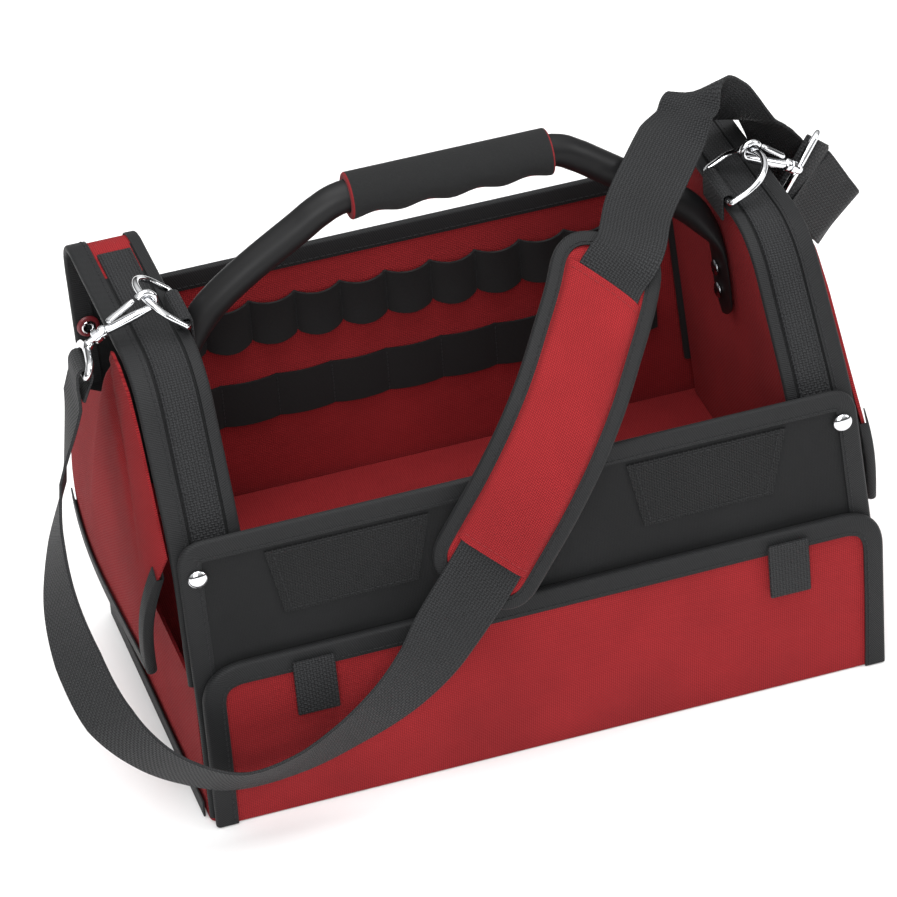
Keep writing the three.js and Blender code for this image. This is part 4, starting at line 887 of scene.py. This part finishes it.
FOOT_HALF = 211.2
FOOT_FRONT = -104.0
FOOT_BACK = 112.8
FOOT_BOTTOM = 0.3
FOOT_TOP = 12.0
FOOT_THICK = 1.2
foot_line = rounded_line([
    (-FOOT_HALF, FOOT_FRONT), (-FOOT_HALF, FOOT_BACK, 2), (FOOT_HALF, FOOT_BACK, 2),
    (FOOT_HALF, FOOT_FRONT)], 6, 12)
foot_place = edge_place(foot_line, lambda x, y, b: points_at(x, y, (FOOT_TOP + FOOT_BOTTOM) / 2 + b))
foot_rings = [foot_place(a, b) for b, a in band_section(FOOT_TOP - FOOT_BOTTOM, FOOT_THICK)]
dress(loft("foot_binding", np.stack(foot_rings, axis=1)), edge_binding, "edge_tape", "foot_tape")

# Handle: one steel tube, bent up from end to end of the bag and coated satin black.
# Its ends are pressed flat, cut to a point and held to the end walls by two rivets each.

TUBE_R = 9.5
HANDLE_TOP = 332.0
HANDLE = [
    # along the bag, height, and where it isn't round half its thickness and half its width
    (-171.3, 197, 2.2, 4), (-171.4, 205, 2.4, 12.5), (-171.6, 214, 2.4, 14.5), (-171.6, 238, 2.4, 14.5),
    (-170, 250, 4, 13.5), (-165.5, 262, 7.5, 11), (-158, 274), (-147, 285), (-128, 299), (-96, 319),
    (-85, 326), (-70, HANDLE_TOP), (58, HANDLE_TOP), (71, 325.5), (84, 316), (118, 290), (138, 273),
    (147.5, 260, 7.5, 11), (154, 247, 4, 13.5), (156.3, 234, 2.4, 14.5), (158, 211, 2.4, 14.5),
    (158.6, 203, 2.4, 12.5), (159.1, 195, 2.2, 4),
]


def spline(points, steps):
    """A smooth run through points, with the same number of steps from each point to the next."""
    points = np.asarray(points, float)
    ends = np.vstack([2 * points[0] - points[1], points, 2 * points[-1] - points[-2]])
    run = []
    for p0, p1, p2, p3 in zip(ends, ends[1:], ends[2:], ends[3:]):
        d0, d1, d2 = (max(np.linalg.norm(b - a) ** 0.5, 1e-4) for a, b in ((p0, p1), (p1, p2), (p2, p3)))
        m1 = ((p1 - p0) / d0 - (p2 - p0) / (d0 + d1) + (p2 - p1) / d1) * d1
        m2 = ((p2 - p1) / d1 - (p3 - p1) / (d1 + d2) + (p3 - p2) / d2) * d1
        for t in np.arange(steps) / steps:
            cube, square = t ** 3, t ** 2
            run.append((2 * cube - 3 * square + 1) * p1 + (cube - 2 * square + t) * m1
                       + (3 * square - 2 * cube) * p2 + (cube - square) * m2)
    run.append(points[-1])
    return np.array(run)


def coated_finish(name, light, dark, rough, coat, shine=0.5):
    material, node, feed = start_finish(name)
    body = node("TexCoord", out="Object")
    slow = noise(node, body, 22.0, 3.0)
    feed(
        Base_Color=blend_colours(node, slow, dark, light),
        Roughness=spread(node, slow, rough - 0.05, rough + 0.07),
        Normal=raised(node, noise(node, body, 900.0, 2.0), 0.03),
        Coat_Weight=coat,
        Coat_Roughness=0.35,
        Specular_IOR_Level=shine,
    )
    return material


def full_turn(count):
    return np.linspace(0, 2 * math.pi, count + 1)[:-1]


satin_black = coated_finish(
    "satin_black", colour(0.008, 0.008, 0.0085), colour(0.005, 0.005, 0.0053), 0.46, 0.0, 0.22)
handle_rows = spline([(*row, TUBE_R, TUBE_R)[:4] for row in HANDLE], 7)
handle_side = right_of(handle_rows[:, :2])
handle_rings = []
for (x, z, thick, wide), (sx, sz) in zip(handle_rows, handle_side):
    turn = full_turn(32)
    squash = thick * np.cos(turn)
    handle_rings.append(points_at(x + sx * squash, wide * np.sin(turn), z + sz * squash))
dress(loft("carry_tube", handle_rings), satin_black, "tube_steel", "handle_tube")

# Grip: a sleeve of soft foam pushed over the tube, black outside and red within.
# Four finger hollows are cut into its underside, and the red shows there and at both ends.

GRIP_R = 14.0
GRIP_BORE_R = TUBE_R + 0.7
GRIP_LEFT = -67.0
GRIP_RIGHT = 55.0
GRIP_FINGERS = 4
GRIP_HOLLOW = 2.6
GRIP_ROUND = 1.6
GRIP_SIDES = 56
RED_SHOWS_AT = 1.5


def foam_finish(name, light, dark):
    material, node, feed = start_finish(name)
    body = node("TexCoord", out="Object")
    # Painted shade: the cells that make the bump also darken the colour in their low pits; the slow noise
    # adds a random change of tone.
    cells = node("TexVoronoi", {"Vector": body, "Scale": 1100.0})
    slow = noise(node, body, 60.0, 4.0)
    feed(
        Base_Color=blend_colours(node, added(node, cells, 0.5, slow), dark, light),
        Roughness=spread(node, slow, 0.82, 0.96),
        Normal=raised(node, cells, 0.14),
        Sheen_Weight=0.03,
        Specular_IOR_Level=0.2,
    )
    return material


foam_black = foam_finish("foam_black", colour(0.013, 0.0133, 0.0136), colour(0.005, 0.005, 0.0053))
foam_red = foam_finish("foam_red", colour(0.19, 0.012, 0.015), colour(0.09, 0.005, 0.007))
grip_steps = np.linspace(GRIP_LEFT + GRIP_ROUND, GRIP_RIGHT - GRIP_ROUND, 85)
rim = np.radians(np.linspace(0, 80, 6))
left_rim = [
    (GRIP_LEFT + GRIP_ROUND * (1 - math.sin(t)), GRIP_R - GRIP_ROUND * (1 - math.cos(t))) for t in rim[::-1]]
grip_outline = (
    [(GRIP_RIGHT, GRIP_BORE_R), (GRIP_LEFT, GRIP_BORE_R), (GRIP_LEFT, GRIP_R - GRIP_ROUND)]
    + left_rim + [(x, GRIP_R) for x in grip_steps[1:-1]]
    + [(GRIP_RIGHT + GRIP_LEFT - x, r) for x, r in left_rim[::-1]] + [(GRIP_RIGHT, GRIP_R - GRIP_ROUND)])
grip_rings = []
for turn in full_turn(GRIP_SIDES):
    ring = []
    for x, r in grip_outline:
        along = (x - GRIP_LEFT) / (GRIP_RIGHT - GRIP_LEFT)
        hollow = GRIP_HOLLOW * math.sin(math.pi * GRIP_FINGERS * along) ** 2 if r > GRIP_BORE_R else 0
        radius = r - hollow * max(0, -math.sin(turn))
        ring.append((x, radius * math.cos(turn), HANDLE_TOP + radius * math.sin(turn)))
    grip_rings.append(ring)


def shows_red(face):
    x, y, z = np.array(face.center) / MM
    depth = GRIP_R - math.hypot(y, z - HANDLE_TOP)
    return depth > RED_SHOWS_AT or min(x - GRIP_LEFT, GRIP_RIGHT - x) < GRIP_ROUND * 0.6


carry_grip = loft("carry_grip", grip_rings, closed=True)
dress(carry_grip, foam_black, "grip_foam", "handle_grip")
part_finish(carry_grip, foam_red, shows_red)

# Rivets and eyelets: dark steel domes hold the handle's ends, and bright ones the front corners.
# On each back corner a bright tube is spread over a red washer.

HANDLE_RIVETS = [
    # name, along the bag, height, way in
    ("left_upper", -168.8, 229, 1), ("left_lower", -168.7, 211, 1),
    ("right_upper", 153.9, 227, -1), ("right_lower", 155.1, 211, -1),
]
CORNER_RIVETS = (("left", -201, 175), ("right", 189, 177))
EYELET_AT = (203, 100.2, 219)
WASHER = [(3.4, 0), (6.8, 0), (7, 0.3), (6.7, 0.9), (5.6, 1.25), (4.2, 1.3), (3.4, 1.0)]
EYELET_TUBE = [(2, 0), (3.2, 0.2), (3.3, 1.2), (4.1, 1.4), (4.3, 1.9), (3.8, 2.3), (2.8, 2.3), (2.1, 1.9)]
TURNED_SIDES = 40


def turned(name, profile, at, axis):
    """A solid turned about an axis; the profile gives radius and height."""
    axis = unit(axis)
    first = unit(np.cross(axis, (0, 0, 1) if abs(axis[2]) < 0.9 else (1, 0, 0)))
    second = np.cross(axis, first)
    rings = []
    for turn in full_turn(TURNED_SIDES):
        way = first * math.cos(turn) + second * math.sin(turn)
        rings.append([np.array(at) + way * r + axis * h for r, h in profile])
    return loft(name, rings, closed=True, sharp=50)


def dome(radius, height):
    """A round head whose profile closes on itself close to the axis."""
    tip = 0.02
    bend = np.radians(np.linspace(0, 90, 12))
    curve = [(max(tip, radius * math.cos(t)), 0.35 + (height - 0.35) * math.sin(t)) for t in bend]
    return [(tip, 0.0), (radius * 0.96, 0.0), (radius, 0.12)] + curve


def bright_finish(name, light, dark, rough):
    material, node, feed = start_finish(name)
    body = node("TexCoord", out="Object")
    fine = noise(node, body, 900.0, 2.0)
    feed(
        Base_Color=blend_colours(node, fine, dark, light),
        Metallic=1.0,
        Roughness=spread(node, fine, rough * 0.7, rough * 1.3),
        Normal=raised(node, noise(node, body, 160.0, 3.0), 0.02),
    )
    return material


chrome = bright_finish("chrome", colour(0.80, 0.81, 0.82), colour(0.62, 0.63, 0.65), 0.07)
dark_steel = bright_finish("dark_steel", colour(0.20, 0.20, 0.21), colour(0.10, 0.10, 0.11), 0.22)
red_washer = coated_finish("red_washer", colour(0.20, 0.016, 0.022), colour(0.12, 0.010, 0.014), 0.4, 0.2)
for place_name, x, z, inward in HANDLE_RIVETS:
    rivet = turned(f"tube_rivet_{place_name}", dome(5, 2.4), (x, 0, z), (inward, 0, 0))
    dress(rivet, dark_steel, "bright_metal", f"handle_rivet_{place_name}")
for side, x, z in CORNER_RIVETS:
    stud = turned(f"corner_stud_{side}", dome(6, 3.4), (x, FRONT_Y - 1.75, z), FORWARD)
    dress(stud, chrome, "bright_metal", f"corner_rivet_{side}")
for side, sign in SIDES:
    at = lean([np.array(EYELET_AT) * (sign, 1, 1)])[0]
    washer = turned(f"eyelet_washer_{side}", WASHER, at, FORWARD)
    dress(washer, red_washer, "red_cloth", f"back_eyelet_{side}")
    dress(turned(f"eyelet_tube_{side}", EYELET_TUBE, at, FORWARD), chrome, "bright_metal")

# Rings, keepers and snap hooks: a bright wire ring shaped like a D sits in a short webbing loop
# at the top of each arch. A cast snap hook with a sprung gate hangs on it, with a yoke for the strap.

RING_WIRE_R = 2.0
RING_HALF = 21.0
RING_STRAIGHT = 10.0
RING_TURN = 3.0
RING_Y = -12.0
RING_Z = 290.0
RING_TILT = {"left": math.radians(42), "right": math.radians(27)}
KEEPER_WIDTH = 32.0
KEEPER_THICK = 1.6
KEEPER_LINE = [(-3.3, -13), (-3.3, 3.3, 3.2), (3.4, 3.3, 3.2), (4.6, -2.8)]
BOW_R = 5.5
BOW_WIRE_R = 2.0
HOOK_END = 38.8
GATE_PIVOT = (24.4, -4.0)
GATE_TIP = (4.8, -5.2)
SNAPS = {
    # turn round the ring, way along the hook, middle of the strap's bar, way along that bar, side of its end
    "left": (34, (-0.9, -0.06, -0.43), (-236.7, -29, 278.2), (-0.11, -0.967, 0.225), -1),
    "right": (-35, (0.75, 0.12, -0.56), (214.1, 19, 270.8), (-0.66, -0.3, -0.69), 1),
}
SHANK = [
    # along the hook, off its axis, half width in its plane, half thickness
    (9, 3.9, 2.9, 2.5), (14, 2.9, 2.9, 2.8), (20, 1.8, 2.8, 2.8), (25, 0.85, 2.6, 2.8), (27.4, 0.2, 2.7, 2.7),
    (27.9, 0, 3.5, 3.5), (28.4, 0, 4, 4), (30.4, 0, 4, 4), (30.8, 0, 3.4, 3.4), (31.8, 0, 3.4, 3.4),
    (32.2, 0, 4, 4), (35.2, 0, 4, 4), (36, 0, 3.2, 3.2), (36.2, 0, 1.7, 1.7), (39.4, 0, 1.7, 1.7),
]
YOKE_NECK = 5.0
YOKE_HALF = 23.5
YOKE_SIDE = 7.0
YOKE_WIRE = 2.0
GATE_ROWS = [
    # share of the gate's length, half width, half thickness
    (0, 0.9, 0.9), (0.04, 1.4, 1.6), (0.1, 1.6, 2.0), (0.3, 1.6, 2.0), (0.6, 1.6, 2.0), (0.85, 1.6, 2.0),
    (0.96, 1.4, 1.6), (1, 0.8, 0.8),
]
STEM = [(-0.2, 2.2), (0.4, 2.9), (1.2, 3.1), (3, 2.8), (5, 2.8), (6, 2.2)]
BAR_SIDES = 18


def stepper(start, *ways):
    """A function that goes from a place by steps along three ways."""
    return lambda *steps: start + sum(way * step for way, step in zip(ways, steps))


def bent_bar(name, line, sizes, place, *nodes, closed=False, sharp=40, body="bag"):
    """A bright bar bent in a plane: sizes hold half its width in the plane and half its thickness."""
    rings = []
    for (p, q), (to_p, to_q), (wide, thick) in zip(line, right_of(line, closed), sizes):
        rings.append([
            place(p + to_p * wide * math.cos(t), q + to_q * wide * math.cos(t), thick * math.sin(t))
            for t in full_turn(BAR_SIDES)])
    return dress(loft(name, rings, closed, sharp), chrome, "bright_metal", *nodes, body=body)


ring_arc = np.radians(np.linspace(90, -90, 41))
ring_run = np.vstack([
    rounded_line([(0, 0), (0, RING_HALF, RING_TURN), (RING_STRAIGHT, RING_HALF)], 8),
    points_at(RING_STRAIGHT + RING_HALF * np.cos(ring_arc), RING_HALF * np.sin(ring_arc))[1:],
    rounded_line([(RING_STRAIGHT, -RING_HALF), (0, -RING_HALF, RING_TURN), (0, 0)], 8)[1:-1]])
eye_bars = {}
for side, sign in SIDES:
    turn, hook_way, eye_bar, bar_way, _ = SNAPS[side]
    tilt = RING_TILT[side]
    bar = lean([[sign * ARCH_INNER, RING_Y, RING_Z]])[0]
    out = np.array([sign * math.cos(tilt), 0, math.sin(tilt)])
    off = np.array([-sign * math.sin(tilt), 0, math.cos(tilt)])
    on_ring = stepper(bar, out, np.array([0, 1, 0]), off)
    wire = [(RING_WIRE_R, RING_WIRE_R)] * len(ring_run)
    bent_bar(f"dee_{side}", ring_run, wire, on_ring, f"d_ring_{side}", closed=True)

    keeper_place = edge_place(
        rounded_line(KEEPER_LINE, 8, 2), lambda x, z, a: points_at(bar[0] + sign * x, bar[1] + a, bar[2] + z))
    woven_band(f"ring_keeper_{side}", f"ring_loop_{side}", keeper_place, KEEPER_WIDTH, KEEPER_THICK)

    turn = math.radians(turn)
    axis = unit(hook_way)
    held = on_ring(RING_STRAIGHT + RING_HALF * math.cos(turn), -RING_HALF * math.sin(turn), 0)
    bow = held + axis * (BOW_R - 2 * RING_WIRE_R - 0.4)
    normal = unit(np.array([0, 1, 0]) - axis * axis[1])
    rise = np.cross(normal, axis)
    on_hook = stepper(bow, axis, -rise * np.sign(rise[2]), normal)
    bow_arc = np.radians(np.arange(298, 93, -8.5))
    bow_rows = [(BOW_R * math.cos(t), BOW_R * math.sin(t), BOW_WIRE_R, BOW_WIRE_R) for t in bow_arc]
    hook_line, hook_sizes = np.split(np.array(bow_rows + SHANK), 2, axis=1)
    bent_bar(f"snap_body_{side}", hook_line, hook_sizes, on_hook, f"hook_body_{side}", sharp=35)

    gate_rows = np.array(GATE_ROWS)
    gate_line = between(np.array(GATE_PIVOT), np.array(GATE_TIP), gate_rows[:, :1])
    bent_bar(
        f"snap_gate_{side}", gate_line, gate_rows[:, 1:], on_hook, f"hook_gate_{side}", body=f"gate_{side}")

    swivel = on_hook(HOOK_END, 0, 0)
    eye_bar = np.array(eye_bar, float)
    reach = np.linalg.norm(eye_bar - swivel)
    eye_axis = unit(eye_bar - swivel)
    across = np.array(bar_way)
    across = unit(across - eye_axis * across.dot(eye_axis))
    eye_bars[side] = (eye_bar, across)
    on_eye = stepper(swivel, eye_axis, across, np.cross(eye_axis, across))
    yoke_line = rounded_line([
        (reach, 0), (reach, YOKE_HALF, 2.5), (reach - YOKE_SIDE, YOKE_HALF, 5), (YOKE_NECK, YOKE_NECK, 4),
        (YOKE_NECK, -YOKE_NECK, 4), (reach - YOKE_SIDE, -YOKE_HALF, 5), (reach, -YOKE_HALF, 2.5),
        (reach, 0)], 6, 2.5)[1:]
    neck = np.clip(1 - (yoke_line[:, 0] - YOKE_NECK) / 14, 0, 1)
    yoke_sizes = [(YOKE_WIRE + 0.7 * n, YOKE_WIRE * (0.85 + 0.3 * n)) for n in neck]
    bent_bar(f"snap_yoke_{side}", yoke_line, yoke_sizes, on_eye, f"hook_eye_{side}", closed=True)
    stem_line = np.array([(along, 0) for along, _ in STEM])
    bent_bar(f"snap_swivel_{side}", stem_line, [(radius, radius) for _, radius in STEM], on_eye)

# Shoulder pad: a long foam pad in red cloth with rounded ends and tape sewn round its edge.
# It bends over the front edge of the bag; a sleeve of the same cloth on its face holds the strap.

PAD_WIDTH = 62.0
PAD_THICK = 9.0
PAD_RIM = 3.2
PAD_CORNER = 24.0
PAD_TUCK = 0.8
PAD_TAPE = 7.6
PAD_TAPE_CLEAR = PAD_RIM + 2.2
PAD_LINE = [
    (-48, -131, 134.5), (-30, -132, 163.5), (-10, -131.5, 194.5), (8, -125.5, 220), (25.5, -112, 240.5),
    (42, -94, 259), (58, -75.5, 277.5), (73, -53.5, 300),
]
PAD_ACROSS = unit((-0.8, 0.48, 0.35))
SLEEVE_FROM = {"left": 31.0, "right": 28.0}
SLEEVE_END = {"left": 18.0, "right": 38.0}
SLEEVE_HALF = 23.0
SLEEVE_FOOT = 2.8
SLEEVE_TOP = 10.0
SLEEVE_WALL = 1.2
SLEEVE_HEM = 4.5

pad_run = spline(PAD_LINE, 24)
pad_reach = run_lengths(pad_run)
PAD_LENGTH = pad_reach[-1]
pad_ways = np.gradient(pad_run, pad_reach, axis=0)


def pad_frame(l):
    """The pad's middle, the way across it and the way out of its face, at length l."""
    held = np.clip(l, 0, PAD_LENGTH)
    along = unit(at_lengths(held, pad_reach, pad_ways))
    at = at_lengths(held, pad_reach, pad_run) + along * (l - held)[..., None]
    across = unit(PAD_ACROSS - along * (along @ PAD_ACROSS)[..., None])
    return at, across, np.cross(along, across)


def on_pad(l, c, h):
    l, c, h = np.broadcast_arrays(np.asarray(l, float), c, h)
    at, across, face = pad_frame(l)
    return at + across * c[..., None] + face * h[..., None]


def pad_half(l):
    short = np.clip(PAD_CORNER - np.minimum(l, PAD_LENGTH - l), 0, None) / PAD_CORNER
    return PAD_WIDTH / 2 - PAD_CORNER * (1 - np.sqrt(np.clip(1 - short ** 2, 0, None)))


pad_share = 0.5 - 0.5 * np.cos(np.linspace(0.12, math.pi - 0.12, 64))
pad_l = PAD_TUCK + (PAD_LENGTH - 2 * PAD_TUCK) * (pad_share - pad_share[0]) / (pad_share[-1] - pad_share[0])
pad_c = np.linspace(-1, 1, 25)
inside = np.clip(np.minimum(pad_l, PAD_LENGTH - pad_l) - PAD_TAPE, 0, None)
swell_l = np.minimum(1, inside / 12)[:, None]
swell_c = np.clip((1 - np.abs(pad_c)) / 0.42, 0, 1)[None, :]
crown = np.sin(math.pi / 2 * swell_l) * np.sin(math.pi / 2 * swell_c) ** 0.8
half_thick = PAD_RIM / 2 + (PAD_THICK - PAD_RIM) / 2 * crown
wide = (pad_half(pad_l) - PAD_TUCK)[:, None] * pad_c[None, :]
upper = on_pad(pad_l[:, None], wide, half_thick)
under = on_pad(pad_l[:, None], wide, -half_thick)
pad_rings = np.concatenate([upper, under[:, ::-1]], axis=1)
pad_cushion = dress(loft("pad_cushion", pad_rings, sharp=70), red_cloth, "red_cloth", "shoulder_pad")

pad_edge = rounded_line([
    (PAD_LENGTH / 2, PAD_WIDTH / 2), (PAD_LENGTH, PAD_WIDTH / 2, PAD_CORNER),
    (PAD_LENGTH, -PAD_WIDTH / 2, PAD_CORNER), (0, -PAD_WIDTH / 2, PAD_CORNER), (0, PAD_WIDTH / 2, PAD_CORNER),
    (PAD_LENGTH / 2, PAD_WIDTH / 2)], 12, 5)[1:]
pad_tape = edge_place(pad_edge, on_pad, closed=True)
pad_binding = bind_edge("pad_binding", "shoulder_pad_tape", pad_tape, PAD_TAPE, PAD_TAPE_CLEAR, closed=True)
pad_seam = stitching("pad_stitches", "edge_tape", [tape_seam(pad_tape, PAD_TAPE, PAD_TAPE_CLEAR)])

sleeve_c = np.sin(np.linspace(-math.pi / 2, math.pi / 2, 41))
leftward = 0.5 + sleeve_c / 2
sleeve_from = between(SLEEVE_FROM["right"], SLEEVE_FROM["left"], leftward)
sleeve_to = PAD_LENGTH - between(SLEEVE_END["right"], SLEEVE_END["left"], leftward)
sleeve_l = between(sleeve_from, sleeve_to, np.linspace(0, 1, 49)[:, None])


def on_sleeve(l, c, deep=0.0):
    """Points on the sleeve, c from edge to edge as -1 to 1 and deep below its outer face."""
    rise = np.sqrt(np.clip(1 - np.abs(c) ** 8, 0, None))
    return on_pad(l, (SLEEVE_HALF - deep) * c, between(SLEEVE_FOOT, SLEEVE_TOP - deep, rise))


sleeve_rings = np.concatenate([
    on_sleeve(sleeve_l, sleeve_c), on_sleeve(sleeve_l, sleeve_c, SLEEVE_WALL)[:, ::-1]], axis=1)
pad_sleeve = dress(loft("pad_sleeve", sleeve_rings, sharp=60), red_cloth, "red_cloth", "shoulder_pad_cover")
hem_c = np.linspace(-0.94, 0.94, 40)
hems = []
for edge, inward in ((sleeve_from, SLEEVE_HEM), (sleeve_to, -SLEEVE_HEM)):
    l = np.interp(hem_c, sleeve_c, edge) + inward
    hems.append((on_sleeve(l, hem_c), pad_frame(l)[2]))
thread_red = ribbed_finish("thread_red", RED_LIGHT, RED_DARK, 0.5, slant=0.7, relief=0.05)
sleeve_seam = stitching("sleeve_stitches", "red_cloth", hems, thread_red, radius=0.36)

# Shoulder strap: one length of black webbing between the two snap hooks.
# It turns round each yoke, hangs down in front of the bag, and runs through the pad's sleeve
# and up behind the right end.

STRAP_WIDTH = 40.0
STRAP_THICK = 1.8
STRAP_ON_PAD = PAD_THICK / 2 + STRAP_THICK / 2 + 1.2
STRAP_LEFT = [
    # three numbers for the place, and three for the way across
    (-244.5, -33, 260, 0.05, -0.93, 0.35), (-251, -38, 237, -0.08, -0.88, 0.47),
    (-259, -48, 216, -0.2, -0.79, 0.57), (-270, -64, 189, 0.11, -0.69, 0.71),
    (-276, -85, 163, 0.34, -0.67, 0.66), (-274, -107, 135, 0.55, -0.62, 0.57),
    (-264, -127, 104, 0.58, -0.56, 0.6), (-245, -137, 79, 0.43, -0.64, 0.63),
    (-221, -141, 61, 0.35, -0.68, 0.64), (-195, -142, 50, 0.13, -0.66, 0.74),
    (-159, -141, 52, -0.15, -0.59, 0.79), (-127, -140, 64, -0.38, -0.46, 0.81),
    (-98, -139, 81, -0.57, -0.22, 0.79), (-78, -138.5, 100, -0.73, 0.01, 0.68),
    (-64, -138, 120, -0.76, 0.28, 0.57),
]
STRAP_ALONG_PAD = [
    # length along the pad, way across it, lift
    *((along, 0, 0) for along in (14, 38, 62, 86, 110, 134, 158, 180)),
    (203, -3, 0.1), (221, -10.5, 3),
]
STRAP_RIGHT = [
    (95, -39.5, 306, -0.82, 0.46, 0.33), (113, -17.5, 313, -0.86, 0.4, 0.25),
    (130, 1, 321, -0.9, 0.38, 0.12), (143.5, 14, 327.5, -0.92, 0.3, -0.4),
    (156, 23.5, 335, -0.82, 0.38, -0.43), (170.5, 31.5, 322.5, -0.66, 0.44, -0.61),
    (179.5, 36, 311, -0.64, 0.54, -0.5), (192, 40, 298.5, -0.52, 0.79, -0.3),
    (201.5, 43, 292, -0.47, 0.86, -0.17),
    (208, 45.7, 281, -0.55, 0.8, -0.23), (216.5, 46.4, 262, -0.31, 0.53, -0.79),
    (226.5, 45.3, 243, -0.5, 0.35, -0.79), (238.5, 43.5, 224.5, -0.66, 0.15, -0.74),
    (244.5, 37.5, 218.5, -0.7, 0.02, -0.71), (242.5, 31, 223.5, -0.72, -0.1, -0.68),
    (235, 26.5, 237, -0.72, -0.2, -0.66), (227, 22.8, 252, -0.7, -0.25, -0.67),
    (222, 20, 261.5, -0.68, -0.28, -0.68),
]
YOKE_LOOP = [(15, -2.8), (8, -3.4), (1, -4), (-2.8, -2.8), (-4, 0), (-2.8, 2.8), (1, 4), (8, 2.4)]
STRAP_STEPS = 9


def yoke_loop(side, next_place):
    """The strap's turn round the bar of a yoke, from its sewn end on."""
    bar, across = eye_bars[side]
    leave = np.array(next_place, float) - bar
    leave = unit(leave - across * leave.dot(across))
    off = np.cross(across, leave) * SNAPS[side][-1]
    return [(*(bar + leave * d + off * n), *across) for d, n in YOKE_LOOP]


strap_on_pad = [
    (*on_pad(l, c, STRAP_ON_PAD + lift), *pad_frame(np.array(float(l)))[1]) for l, c, lift in STRAP_ALONG_PAD]
strap_rows = (
    yoke_loop("left", STRAP_LEFT[0][:3]) + STRAP_LEFT + strap_on_pad
    + STRAP_RIGHT + yoke_loop("right", STRAP_RIGHT[-1][:3])[::-1])
places, ways = np.split(np.array(strap_rows), 2, axis=1)
strap_line = spline(places, STRAP_STEPS)
strap_along = unit(np.gradient(strap_line, axis=0))
stations = np.arange(len(strap_rows)) * STRAP_STEPS
strap_across = at_lengths(np.arange(len(strap_line)), stations, ways)
strap_across -= strap_along * np.sum(strap_along * strap_across, axis=1, keepdims=True)
strap_across = unit(strap_across)
strap_face = np.cross(strap_along, strap_across)
strap_band = woven_band(
    "strap_band", "shoulder_strap", lambda b, a: strap_line + strap_across * a + strap_face * b,
    STRAP_WIDTH, STRAP_THICK)
strap_length = run_lengths(strap_line)[-1] * MM
